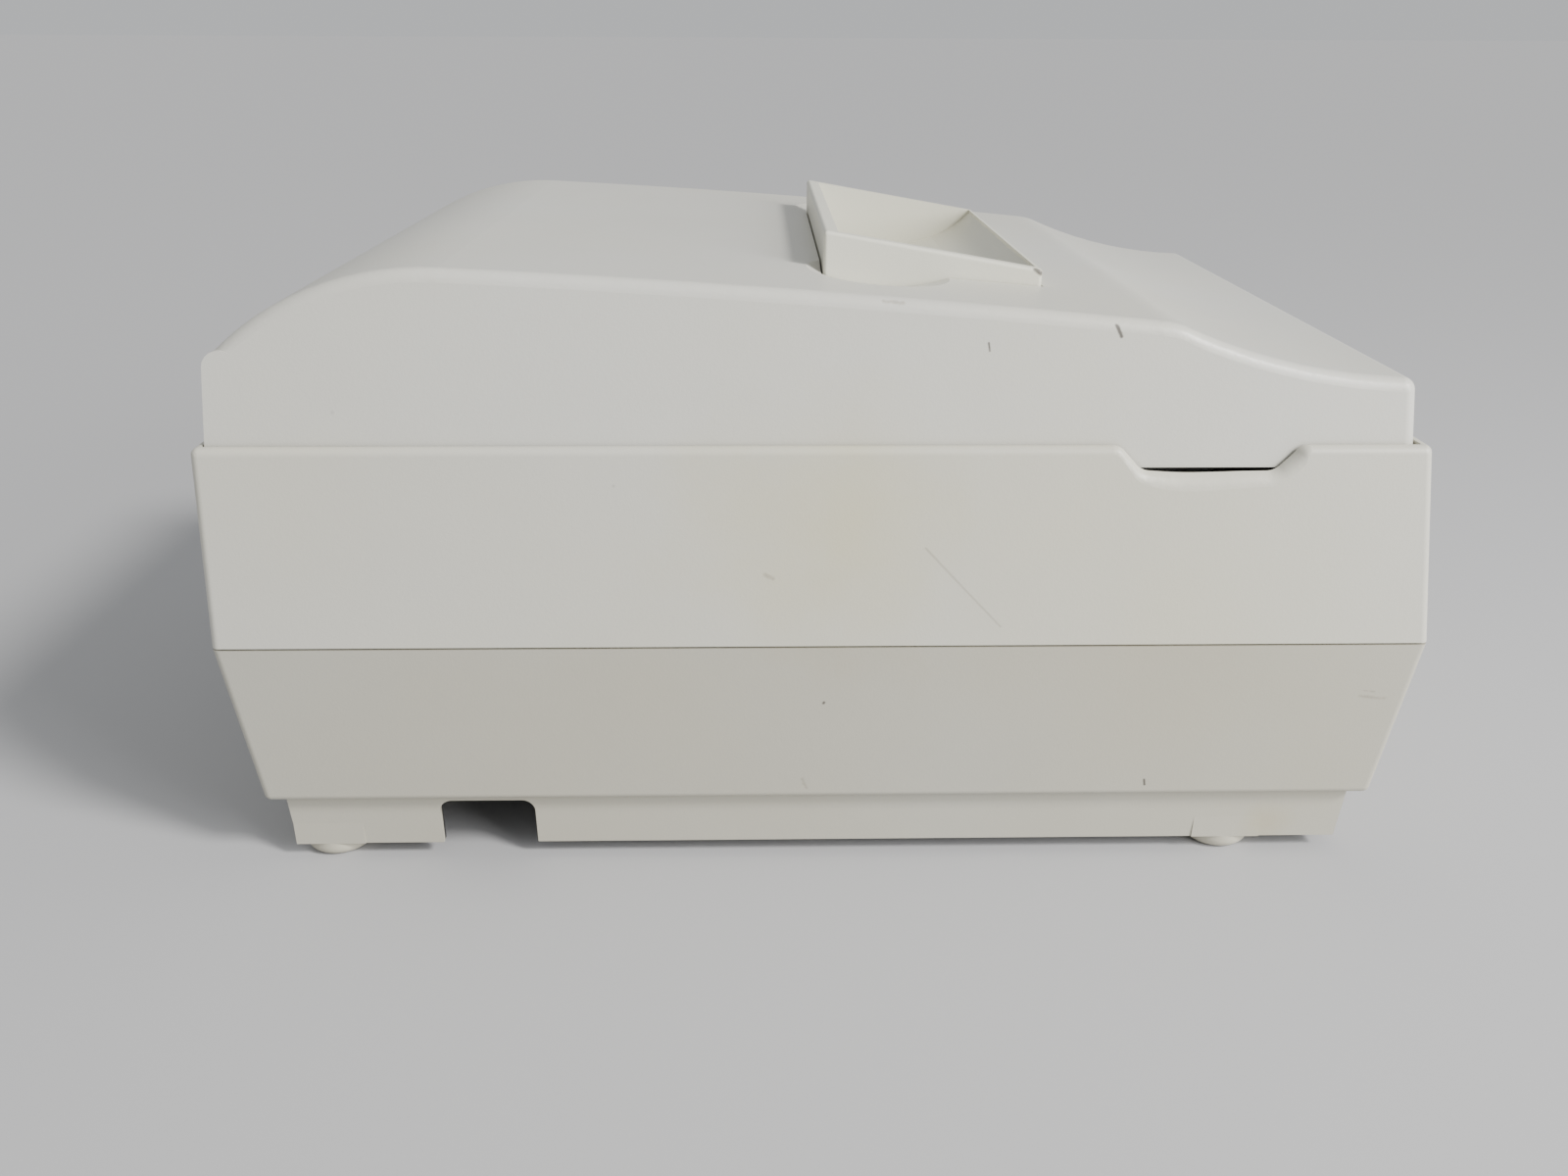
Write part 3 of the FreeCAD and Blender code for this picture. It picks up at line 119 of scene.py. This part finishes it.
def moulding_group():
    """The fine spark-eroded texture of a moulded case, as a height and a roughness shift."""
    group, end = new_group("Moulded texture", "Height", "Roughness shift")
    point = object_point(group)
    grain = noise(group, point, 2600, 2, 0.6)
    cells = group.nodes.new("ShaderNodeTexVoronoi")
    cells.feature = "SMOOTH_F1"
    cells.inputs["Scale"].default_value = 1500
    link(group, point, cells.inputs["Vector"])
    height = maths(group, "ADD", grain, maths(group, "MULTIPLY", cells.outputs["Distance"], 0.6))
    link(group, height, end.inputs["Height"])
    smear = noise(group, point, 14, 4, 0.6)
    link(group, remap(group, smear, 0.3, 0.7, -0.05, 0.05), end.inputs["Roughness shift"])
    return group


def blob(tree, point, centre, radius):
    """A soft round mask about a place on the case."""
    away = tree.nodes.new("ShaderNodeVectorMath")
    away.operation = "DISTANCE"
    link(tree, point, away.inputs[0])
    away.inputs[1].default_value = centre
    ragged = noise(tree, point, 60, 4, 0.6)
    reach = maths(tree, "ADD", away.outputs["Value"], maths(tree, "MULTIPLY", ragged, radius * 0.7))
    return remap(tree, reach, radius * 1.25, radius * 0.35)


def stroke(tree, point, start, end, width, ragged=0.5):
    """A mask along a straight mark from start to end, with a ragged edge."""
    along = Vector(end) - Vector(start)
    away = tree.nodes.new("ShaderNodeVectorMath")
    away.operation = "SUBTRACT"
    link(tree, point, away.inputs[0])
    away.inputs[1].default_value = start
    dot = tree.nodes.new("ShaderNodeVectorMath")
    dot.operation = "DOT_PRODUCT"
    link(tree, away.outputs["Vector"], dot.inputs[0])
    dot.inputs[1].default_value = along / along.length_squared
    share = remap(tree, dot.outputs["Value"], 0, 1)
    foot = tree.nodes.new("ShaderNodeVectorMath")
    foot.operation = "SCALE"
    foot.inputs[0].default_value = along
    link(tree, share, foot.inputs["Scale"])
    gap = tree.nodes.new("ShaderNodeVectorMath")
    gap.operation = "DISTANCE"
    link(tree, away.outputs["Vector"], gap.inputs[0])
    link(tree, foot.outputs["Vector"], gap.inputs[1])
    rough = maths(tree, "MULTIPLY", noise(tree, point, 900, 3, 0.6), width * ragged)
    return remap(tree, maths(tree, "ADD", gap.outputs["Value"], rough), width, width * 0.55)


DARK_MARKS = (
    ((-0.0795, -0.0565, 0.1256), (-0.0795, -0.0576, 0.1234), 0.0007),
    ((-0.0796, -0.0314, 0.1221), (-0.0796, -0.0317, 0.1205), 0.0004),
    ((-0.0836, 0, 0.0439), (-0.0836, 0.0001, 0.0437), 0.0006),
    ((-0.08145, -0.0735, 0.0222), (-0.0813, -0.0738, 0.0208), 0.0005),
    ((-0.05, -0.0459, 0.1314), (-0.05, -0.0472, 0.1305), 0.001),
    ((-0.05, -0.0437, 0.1323), (-0.05, -0.0444, 0.132), 0.0005),
    ((0.0799, 0.03, 0.112), (0.0799, 0.031, 0.1128), 0.0006),
)
FAINT_MARKS = (
    ((-0.0841, 0.0128, 0.0745), (-0.0842, 0.0112, 0.0737), 0.0014),
    ((-0.0837, -0.1178, 0.0448), (-0.0836, -0.1236, 0.044), 0.001),
    ((-0.0838, -0.1186, 0.0462), (-0.0838, -0.121, 0.0459), 0.0006),
    ((-0.0788, -0.0105, 0.1302), (-0.0788, -0.0143, 0.1298), 0.0012),
    ((-0.0815, 0.0045, 0.023), (-0.0813, 0.0035, 0.0205), 0.001),
    ((0.0844, -0.04, 0.07), (0.0846, -0.022, 0.066), 0.0007),
    ((0.01, 0.1293, 0.071), (0.03, 0.1294, 0.069), 0.0007),
)
SCRATCHES = (
    ((-0.08387, -0.0205, 0.0802), (-0.08427, -0.0278, 0.0724), 0.00035),
    ((-0.08427, -0.0278, 0.0724), (-0.08476, -0.0371, 0.0626), 0.0003),
    ((0.08363, 0.05, 0.085), (0.08393, 0.07, 0.079), 0.0003),
)


def marked(tree, point, marks, ragged=0.5):
    """All the marks of one kind in one mask."""
    mask = stroke(tree, point, *marks[0], ragged)
    for mark in marks[1:]:
        mask = maths(tree, "MAXIMUM", mask, stroke(tree, point, *mark, ragged))
    return mask


def ageing_group():
    """Masks for an old case: yellowing, grime in patches, dark specks, scuffs and scratches."""
    group, end = new_group("Old case marks", "Yellowing", "Specks", "Scuffs", "Scratches", "Grime")
    point = object_point(group)
    link(group, marked(group, point, FAINT_MARKS, 1), end.inputs["Scuffs"])
    link(group, marked(group, point, SCRATCHES, 0.2), end.inputs["Scratches"])
    broad = remap(group, noise(group, point, 9, 3, 0.5, (0.3, 0.1, 0)), 0.35, 0.75, 0.0, 0.55)
    patch = blob(group, point, (-0.085, -0.002, 0.083), 0.052)
    stain = blob(group, point, (-0.076, -0.1054, 0.0078), 0.011)
    local = maths(group, "MAXIMUM", patch, stain)
    link(group, maths(group, "MAXIMUM", broad, local), end.inputs["Yellowing"])
    dots = group.nodes.new("ShaderNodeTexVoronoi")
    dots.inputs["Scale"].default_value = 70
    link(group, point, dots.inputs["Vector"])
    rare = remap(group, noise(group, point, 23, 2, 0.5, (0.7, 0.2, 0.4)), 0.54, 0.6)
    near = remap(group, dots.outputs["Distance"], 0.04, 0.02)
    scattered = maths(group, "MULTIPLY", maths(group, "MULTIPLY", near, rare), 0.4)
    placed = marked(group, point, DARK_MARKS)
    link(group, maths(group, "MAXIMUM", scattered, placed), end.inputs["Specks"])
    cloud = noise(group, point, 38, 6, 0.65, (0.5, 0.3, 0.8))
    link(group, remap(group, cloud, 0.45, 0.8, 0, 0.5), end.inputs["Grime"])
    return group


MOULDING = moulding_group()
AGEING = ageing_group()


def material(name, metallic=0.0, roughness=0.5, colour=(0.5, 0.5, 0.5)):
    """A new material with its Principled shader; returns the material, its tree and the shader."""
    item = bpy.data.materials.new(name)
    item.use_nodes = True
    tree = item.node_tree
    shader = tree.nodes["Principled BSDF"]
    shader.inputs["Metallic"].default_value = metallic
    shader.inputs["Roughness"].default_value = roughness
    shader.inputs["Base Color"].default_value = (*colour, 1)
    return item, tree, shader


def add_group(tree, group):
    item = tree.nodes.new("ShaderNodeGroup")
    item.node_tree = group
    return item


def add_bump(tree, shader, height, strength, distance):
    bump = tree.nodes.new("ShaderNodeBump")
    bump.inputs["Strength"].default_value = strength
    bump.inputs["Distance"].default_value = distance
    link(tree, height, bump.inputs["Height"])
    link(tree, bump.outputs["Normal"], shader.inputs["Normal"])


def bay_painted_shade_mask(tree):
    """The inside of the cable bay, painted near black as painted shade in the hollow."""
    point = object_point(tree)
    split = tree.nodes.new("ShaderNodeSeparateXYZ")
    link(tree, point, split.inputs["Vector"])
    mask = remap(tree, split.outputs["X"], -0.0764, -0.0758)
    mask = maths(tree, "MULTIPLY", mask, remap(tree, split.outputs["X"], -0.013, -0.0136))
    for axis, low, high in (("Y", 0.0615, 0.0925), ("Z", 0.002, 0.0425)):
        mask = maths(tree, "MULTIPLY", mask, remap(tree, split.outputs[axis], low, low + 0.0004))
        mask = maths(tree, "MULTIPLY", mask, remap(tree, split.outputs[axis], high, high - 0.0004))
    return mask


def case_plastic(name, colour, yellow, roughness=0.46, bay_shade_painted=False):
    """Aged, finely textured case plastic."""
    item, tree, shader = material(name, 0.0, roughness, colour)
    marks = add_group(tree, AGEING)
    grain = add_group(tree, MOULDING)
    base = mixed(tree, marks.outputs["Yellowing"], colour, yellow)
    dirty = tuple(channel * 0.78 for channel in colour)
    base = mixed(tree, maths(tree, "MULTIPLY", marks.outputs["Grime"], 0.22), base, dirty)
    base = mixed(tree, maths(tree, "MULTIPLY", marks.outputs["Scuffs"], 0.45), base, (0.25, 0.22, 0.17))
    base = mixed(tree, maths(tree, "MULTIPLY", marks.outputs["Scratches"], 0.45), base, (0.3, 0.28, 0.22))
    base = mixed(tree, maths(tree, "MULTIPLY", marks.outputs["Specks"], 0.85), base, (0.06, 0.05, 0.04))
    # Paint the cable bay's inside near black: painted shade in the hollow, not a shield.
    if bay_shade_painted:
        base = mixed(tree, bay_painted_shade_mask(tree), base, (0.022, 0.022, 0.024))
    link(tree, base, shader.inputs["Base Color"])
    rough = maths(tree, "ADD", grain.outputs["Roughness shift"], roughness)
    link(tree, rough, shader.inputs["Roughness"])
    shader.inputs["IOR"].default_value = 1.5
    add_bump(tree, shader, grain.outputs["Height"], 0.3, 0.00006)
    return item


def varied(name, colour, roughness, metallic=0.0, scale=60, depth=0.12, bump=0.1, distance=0.0001,
           stretch=(1, 1, 1)):
    """A material with gentle cloudy colour and roughness variation and a fine bump."""
    item, tree, shader = material(name, metallic, roughness, colour)
    point = object_point(tree)
    cloud = noise(tree, point, scale, 5, 0.6, (0.1, 0.2, 0.3), stretch)
    darker = tuple(channel * (1 - depth) for channel in colour)
    lighter = tuple(min(1, channel * (1 + depth)) for channel in colour)
    link(tree, mixed(tree, remap(tree, cloud, 0.3, 0.7), darker, lighter), shader.inputs["Base Color"])
    link(tree, remap(tree, cloud, 0.2, 0.8, roughness - 0.07, roughness + 0.09), shader.inputs["Roughness"])
    add_bump(tree, shader, noise(tree, point, scale * 22, 3, 0.6, (0, 0, 0), stretch), bump, distance)
    return item


def paper_material():
    """Wound paper: rings of edges on the roll's ends, a matte web round it."""
    item, tree, shader = material("Wound paper", 0.0, 0.85)
    point = object_point(tree)
    low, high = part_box("paper_roll")
    centre = [(a + b) / 2 for a, b in zip(low, high)]
    shift = tree.nodes.new("ShaderNodeVectorMath")
    shift.operation = "SUBTRACT"
    link(tree, point, shift.inputs[0])
    shift.inputs[1].default_value = centre
    split = tree.nodes.new("ShaderNodeSeparateXYZ")
    link(tree, shift.outputs["Vector"], split.inputs["Vector"])
    square = maths(tree, "ADD", maths(tree, "POWER", maths(tree, "ABSOLUTE", split.outputs["Y"]), 2),
                   maths(tree, "POWER", maths(tree, "ABSOLUTE", split.outputs["Z"]), 2))
    radius = maths(tree, "SQRT", square)
    rings = maths(tree, "SINE", maths(tree, "MULTIPLY", radius, 9000))
    wobble = noise(tree, point, 90, 3)
    tint = mixed(tree, remap(tree, rings, -1, 1, 0.0, 0.35), (0.8, 0.79, 0.75), (0.62, 0.6, 0.56))
    link(tree, mixed(tree, remap(tree, wobble, 0.3, 0.8, 0, 0.25), tint, (0.7, 0.68, 0.62)),
         shader.inputs["Base Color"])
    add_bump(tree, shader, rings, 0.25, 0.00008)
    return item


def board_material():
    """Green solder mask with copper tracks under it."""
    item, tree, shader = material("Circuit board mask", 0.0, 0.32)
    point = object_point(tree)
    bricks = tree.nodes.new("ShaderNodeTexBrick")
    bricks.inputs["Scale"].default_value = 160
    bricks.inputs["Mortar Size"].default_value = 0.03
    link(tree, point, bricks.inputs["Vector"])
    bricks.inputs["Color1"].default_value = (0.012, 0.1, 0.035, 1)
    bricks.inputs["Color2"].default_value = (0.016, 0.13, 0.045, 1)
    bricks.inputs["Mortar"].default_value = (0.05, 0.26, 0.1, 1)
    link(tree, bricks.outputs["Color"], shader.inputs["Base Color"])
    add_bump(tree, shader, bricks.outputs["Fac"], 0.2, 0.00005)
    return item


def lamp_material():
    item, tree, shader = material("Tinted lamp lens", 0.0, 0.18, (0.16, 0.5, 0.14))
    shader.inputs["Coat Weight"].default_value = 0.5
    point = object_point(tree)
    cloud = remap(tree, noise(tree, point, 300, 2), 0.3, 0.7)
    link(tree, mixed(tree, cloud, (0.1, 0.38, 0.09), (0.2, 0.55, 0.16)), shader.inputs["Base Color"])
    return item


STEEL_STREAK = (0.08, 1, 1)
MATERIALS = {
    # The lower case's colours are set darker than the mid case's as painted shade on its downward-facing
    # sides; its last argument paints the cable bay's inside as shade.
    "case_lower": case_plastic("Lower case plastic darkened as painted shade", (0.46, 0.447, 0.385), (0.44, 0.4, 0.29), 0.48, True),
    "case_upper": case_plastic("Mid case plastic", (0.565, 0.555, 0.5), (0.555, 0.525, 0.385), 0.42),
    "cover_plastic": case_plastic("Cover plastic", (0.6, 0.595, 0.55), (0.585, 0.56, 0.46), 0.38),
    "chute_plastic": case_plastic("Chute plastic", (0.68, 0.675, 0.59), (0.64, 0.61, 0.48), 0.38),
    "foot_plastic": case_plastic("Foot plastic", (0.5, 0.48, 0.4), (0.46, 0.42, 0.3), 0.55),
    "steel_pin": varied("Pin steel", (0.55, 0.55, 0.55), 0.3, 1.0, 200, 0.08, 0.1, 0.00003, STEEL_STREAK),
    "screw_steel": varied("Screw steel", (0.42, 0.42, 0.43), 0.38, 1.0, 300, 0.15, 0.2, 0.00005),
    "zinc_steel": varied("Zinc plated sheet", (0.55, 0.56, 0.55), 0.36, 1.0, 45, 0.12, 0.12, 0.00004),
    "paper": paper_material(),
    "cardboard": varied("Core card", (0.34, 0.24, 0.14), 0.85, 0.0, 150, 0.15, 0.4, 0.0001),
    "dark_plastic": varied("Black mechanism plastic", (0.03, 0.03, 0.032), 0.5, 0.0, 90, 0.2, 0.2, 0.00005),
    "roller_rubber": varied("Roller rubber", (0.03, 0.03, 0.03), 0.72, 0.0, 120, 0.25, 0.5, 0.0001),
    "polished_steel": varied("Ground shaft steel", (0.66, 0.66, 0.67), 0.16, 1.0, 160, 0.06, 0.1, 0.00002,
                             STEEL_STREAK),
    "gear_nylon": varied("Natural nylon", (0.66, 0.65, 0.58), 0.42, 0.0, 110, 0.06, 0.1, 0.00005),
    "brass_gear": varied("Pinion brass", (0.62, 0.42, 0.16), 0.28, 1.0, 220, 0.1, 0.1, 0.00003),
    "motor_can": varied("Motor can steel", (0.45, 0.45, 0.46), 0.34, 1.0, 70, 0.1, 0.1, 0.00004,
                        (1, 1, 0.1)),
    "cartridge_plastic": varied("Cartridge plastic", (0.035, 0.035, 0.04), 0.3, 0.0, 80, 0.15, 0.15,
                                0.00004),
    "latch_plastic": varied("Latch plastic", (0.05, 0.16, 0.34), 0.35, 0.0, 100, 0.08, 0.1, 0.00004),
    "belt_rubber": varied("Belt rubber", (0.02, 0.02, 0.02), 0.7, 0.0, 200, 0.2, 0.4, 0.0001),
    "cap_rubber": varied("Cap rubber", (0.07, 0.07, 0.075), 0.7, 0.0, 140, 0.2, 0.3, 0.0001),
    "felt_pad": varied("Ink felt", (0.62, 0.61, 0.58), 0.95, 0.0, 260, 0.12, 0.9, 0.0004),
    "board_green": board_material(),
    "chip_black": varied("Chip epoxy", (0.025, 0.025, 0.027), 0.55, 0.0, 260, 0.15, 0.2, 0.00003),
    "brass_post": varied("Standoff brass", (0.6, 0.42, 0.17), 0.3, 1.0, 220, 0.1, 0.1, 0.00003),
    "connector_black": varied("Connector plastic", (0.03, 0.03, 0.032), 0.45, 0.0, 150, 0.2, 0.15, 0.00004),
    "rocker_black": varied("Rocker plastic", (0.022, 0.022, 0.024), 0.28, 0.0, 150, 0.2, 0.1, 0.00003),
    "button_grey": case_plastic("Button plastic", (0.25, 0.25, 0.24), (0.27, 0.25, 0.2), 0.42),
    "lamp_lens": lamp_material(),
}


def dress_nodes():
    """Give every carried-over node the material of its own slot."""
    slots = {entry["node"]: entry["material_slot"] for entry in frame["record"]["subparts"]}
    for name, item in nodes.items():
        item.data.materials.clear()
        item.data.materials.append(MATERIALS[slots[name]])


dress_nodes()


# ---- Small fittings ----

def boxes_piece(name, body, slot, blocks, soften=0.0):
    """One piece made of blocks (low corner, high corner), in the slot's material."""
    shape = bmesh.new()
    for low, high in blocks:
        size = [b - a for a, b in zip(low, high)]
        centre = [(a + b) / 2 for a, b in zip(low, high)]
        made = bmesh.ops.create_cube(shape, size=1)
        bmesh.ops.scale(shape, vec=size, verts=made["verts"])
        bmesh.ops.translate(shape, vec=centre, verts=made["verts"])
    if soften:
        soft_edges(shape, list(shape.edges), soften)
    return finish_piece(name, body, slot, shape)


def soft_edges(shape, edges, amount):
    bmesh.ops.bevel(shape, geom=edges, offset=amount, segments=2, affect="EDGES", profile=0.5, material=-1)


def finish_piece(name, body, slot, shape):
    bmesh.ops.recalc_face_normals(shape, faces=shape.faces)
    mesh = bpy.data.meshes.new(name)
    shape.to_mesh(mesh)
    shape.free()
    piece = bpy.data.objects.new(name, mesh)
    bpy.context.scene.collection.objects.link(piece)
    mesh.materials.append(MATERIALS[slot])
    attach(piece, body)
    return piece


def discs_piece(name, body, slot, discs, sides=32):
    """One piece made of upright discs (middle of the base, radius, height) with softened rims."""
    shape = bmesh.new()
    for (x, y, z), radius, height in discs:
        made = bmesh.ops.create_cone(shape, cap_ends=True, segments=sides, radius1=radius, radius2=radius,
                                     depth=height)
        bmesh.ops.translate(shape, vec=(x, y, z + height / 2), verts=made["verts"])
    rims = [edge for edge in shape.edges if edge.verts[0].co.z == edge.verts[1].co.z]
    soft_edges(shape, rims, min(0.3 * height for _, _, height in discs))
    return finish_piece(name, body, slot, shape)


def block(x, y, z):
    """The corners of a block from its (low, high) millimetres along each axis."""
    return tuple(tuple(pair[end] * MM for pair in (x, y, z)) for end in (0, 1))


def about(middle, half):
    return middle - half, middle + half


def node_box(node):
    """A node's low and high corners in millimetres."""
    return [[value / MM for value in corner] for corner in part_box(node)]


def make_screw_recess_painted_shade():
    """The crossed driver recesses of the four base screws, as dark insets in their heads: painted shade
    standing in for the hollows.
    """
    low, high = node_box("base_screws")
    head_radius, long_half, short_half = 3, 1.7, 0.35
    level = (high[2] - 0.1, high[2] + 0.03)
    blocks = []
    for x in (low[0] + head_radius, high[0] - head_radius):
        for y in (low[1] + head_radius, high[1] - head_radius):
            blocks.append(block(about(x, long_half), about(y, short_half), level))
            blocks.append(block(about(x, short_half), about(y, long_half), level))
    # Black slabs stand in for the recesses' shade: painted shade.
    boxes_piece("screw_recess_painted_shade", "case", "chip_black", blocks)


def make_belt_teeth():
    """Teeth on the inside of the belt's two straight runs."""
    low, high = node_box("timing_belt")
    wall, tooth, pitch, turn_radius = 1.2, 0.45, 2, 7.2
    reach = high[0] - turn_radius
    level = (low[2] + 0.1, high[2] - 0.1)
    blocks = []
    for at in range(int(2 * reach / pitch) + 1):
        across = about(-reach + at * pitch, tooth)
        for inner, outward in ((low[1] + wall, 1), (high[1] - wall, -1)):
            blocks.append(block(across, sorted((inner - outward * 0.1, inner + outward * tooth)), level))
    boxes_piece("belt_teeth", "case", "belt_rubber", blocks)


BOARD_TOP = node_box("circuit_board")[1][2]
# Left, near, width, depth and legs to a side
CHIPS = ((20, 62, 20, 20, 15), (44, 62, 12, 8, 8), (20, 36, 10, 18, 10), (46, 44, 8, 12, 7))
# Each leg's shoulder, shin and foot: near and far from the chip's side, low and high above the board
LEG_PARTS = ((0, 0.8, 0.7, 0.95), (0.6, 0.85, 0, 0.95), (0.6, 1.6, 0, 0.2))
LEG_HALF = 0.2


def above_board(low, high):
    return BOARD_TOP + low, BOARD_TOP + high


def leg_blocks(side, middle, edge, outward):
    """The three blocks of one leg that stands out from a chip's edge."""
    for near, far, low, high in LEG_PARTS:
        out = sorted((edge + outward * near, edge + outward * far))
        along = about(middle, LEG_HALF)
        x, y = (along, out) if side == "x" else (out, along)
        yield block(x, y, above_board(low, high))


def make_chip_legs():
    """Bent legs down both long sides of each chip, and all round the main one."""
    blocks = []
    for left, near, wide, deep, count in CHIPS:
        runs = {"x": (wide, left, (near, near + deep)), "y": (deep, near, (left, left + wide))}
        sides = [side for side, (length, _, _) in runs.items() if length == max(wide, deep)]
        for side in sides:
            length, start, edges = runs[side]
            for at in range(count):
                middle = start + length * (at + 0.5) / count
                for edge, outward in zip(edges, (-1, 1)):
                    blocks += leg_blocks(side, middle, edge, outward)
    boxes_piece("chip_legs", "case", "zinc_steel", blocks)


SMALL_PARTS = (
    (44, 74), (44, 77), (44, 80), (49, 74), (49, 77), (49, 80), (54, 77), (54, 80), (14, 64), (14, 67),
    (14, 70), (14, 73), (14, 76), (14, 79), (20, 86), (24, 86), (28, 86), (32, 86), (36, 86), (36, 44),
    (36, 48), (36, 52), (40, 44), (40, 48), (8, 60), (8, 64), (8, 72), (8, 80), (40, 92), (44, 90),
)


def make_small_parts():
    """Rows of tiny resistors and capacitors between the chips, each with plated ends."""
    soft_edge = 0.05 * MM
    bodies = [block(about(x, 0.6), about(y, 0.62), above_board(0, 0.6)) for x, y in SMALL_PARTS]
    ends = [block(end, about(y, 0.66), above_board(0, 0.65))
            for x, y in SMALL_PARTS for end in ((x - 1, x - 0.55), (x + 0.55, x + 1))]
    boxes_piece("small_part_bodies", "case", "chip_black", bodies, soft_edge)
    boxes_piece("small_part_ends", "case", "zinc_steel", ends, soft_edge)


def make_board_header():
    """A two-row pin header in its black base."""
    left, near, pitch, pin_half, pin_height = 8, 92, 2.54, 0.32, 8.5
    base = block((left, left + 5.2), (near, near + 7.2), above_board(0, 2.5))
    pins = [block(about(left + 1.4 + pitch * column, pin_half), about(near + 1.4 + pitch * row, pin_half),
                  above_board(0, pin_height))
            for column in range(2) for row in range(3)]
    boxes_piece("header_base", "case", "connector_black", [base], 0.2 * MM)
    boxes_piece("header_pins", "case", "brass_gear", pins, 0.1 * MM)


def make_can_tops():
    """Bright vented tops on the four upright capacitors; the vent scores are dark bars, painted shade
    standing in for the grooves.
    """
    top = node_box("board_components")[1][2]
    cans = ((6, 106), (18, 106), (30, 106), (0, 46))
    top_radius, top_height, vent_long, vent_short, vent_height = 3.5, 0.12, 2.6, 0.12, 0.15
    discs_piece("can_tops", "case", "zinc_steel",
                [((x * MM, y * MM, top * MM), top_radius * MM, top_height * MM) for x, y in cans])
    blocks = [block(about(x, half_x), about(y, half_y), (top, top + vent_height)) for x, y in cans
              for half_x, half_y in ((vent_long, vent_short), (vent_short, vent_long))]
    # The dark vent bars are painted shade for the scored grooves.
    boxes_piece("can_vent_painted_shade", "case", "chip_black", blocks)


def make_contacts():
    """The tongue and the four contacts inside the data socket."""
    low, high = node_box("data_connector")
    y, z = ((low[axis] + high[axis]) / 2 for axis in (1, 2))
    front, back, half_wide, half_tall = low[0] + 0.9, high[0] - 1.2, 2.8, 1.6
    tongue = block((front, back), about(y, half_wide), about(z, half_tall))
    boxes_piece("socket_tongue", "case", "connector_black", [tongue], 0.3 * MM)
    blocks = [block((front + 0.4, back), about(y + shift, 0.5),
                    sorted((z + face - outward * 0.05, z + face + outward * 0.12)))
              for shift in (-1.3, 1.3) for face, outward in ((-half_tall, -1), (half_tall, 1))]
    boxes_piece("socket_contacts", "case", "brass_gear", blocks)


def make_grip_ribs():
    """Finger ribs across the latch's free end and the cartridge's top."""
    low, high = node_box("cartridge_latch")
    middle = (low[0] + high[0]) / 2
    blocks = [block(about(middle, 4), about(y, 0.3), (high[2] - 0.6, high[2] - 0.15))
              for y in (-67.4, -68.8, -70.2, -71.6)]
    boxes_piece("latch_ribs", "latch", "latch_plastic", blocks, 0.1 * MM)
    low, high = node_box("ink_cartridge")
    blocks = [block((low[0] + 6, high[0] - 6), about(y, 0.5), (high[2] - 0.1, high[2] + 0.5))
              for y in (-20, -23, -26, -29, -32)]
    boxes_piece("cartridge_ribs", "cartridge", "cartridge_plastic", blocks, 0.2 * MM)


make_screw_recess_painted_shade()
make_belt_teeth()
make_chip_legs()
make_small_parts()
make_board_header()
make_can_tops()
make_contacts()
make_grip_ribs()


# ---- Floor, camera and light ----

def make_floor():
    mesh = bpy.data.meshes.new("floor")
    shape = bmesh.new()
    bmesh.ops.create_grid(shape, x_segments=1, y_segments=1, size=30)
    shape.to_mesh(mesh)
    shape.free()
    floor = bpy.data.objects.new("floor", mesh)
    bpy.context.scene.collection.objects.link(floor)
    mesh.materials.append(material("Pale floor", 0.0, 0.7, (0.46, 0.46, 0.468))[0])


def make_camera():
    """A wide compact-camera view of the left side from a little above."""
    data = bpy.data.cameras.new("camera")
    data.sensor_width = 36
    data.lens = 29.25
    data.clip_start = 0.01
    camera = bpy.data.objects.new("camera", data)
    bpy.context.scene.collection.objects.link(camera)
    pitch, yaw, roll = math.radians(23.69), math.radians(1.2554), math.radians(0.25)
    looking = Euler((math.pi / 2 - pitch, 0, -math.pi / 2 - yaw), "XYZ").to_matrix()
    camera.matrix_world = Matrix.Translation((-0.32829, 0.01424, 0.17865)) @ (
        looking @ Matrix.Rotation(roll, 3, "Z")).to_4x4()
    bpy.context.scene.camera = camera


def area_light(name, place, target, size, power):
    data = bpy.data.lights.new(name, "AREA")
    data.shape = "RECTANGLE"
    data.size, data.size_y = size
    data.energy = power
    lamp = bpy.data.objects.new(name, data)
    lamp.location = place
    lamp.rotation_euler = (Vector(target) - Vector(place)).to_track_quat("-Z", "Y").to_euler()
    bpy.context.scene.collection.objects.link(lamp)


def light_scene():
    world = bpy.data.worlds.new("Pale room")
    bpy.context.scene.world = world
    world.use_nodes = True
    sky = world.node_tree.nodes["Background"]
    sky.inputs["Color"].default_value = (0.96, 0.98, 1, 1)
    sky.inputs["Strength"].default_value = 0.58
    data = bpy.data.lights.new("key", "SUN")
    data.energy = 3.5
    data.angle = math.radians(11)
    data.color = (1, 0.985, 0.96)
    key = bpy.data.objects.new("key", data)
    key.rotation_euler = Vector((-0.42, -0.72, 0.66)).to_track_quat("Z", "Y").to_euler()
    bpy.context.scene.collection.objects.link(key)
    area_light("front_fill", (-0.52, -0.6, 0.35), (-0.05, -0.1, 0.08), (0.4, 0.4), 6.5)


make_floor()
make_camera()
light_scene()
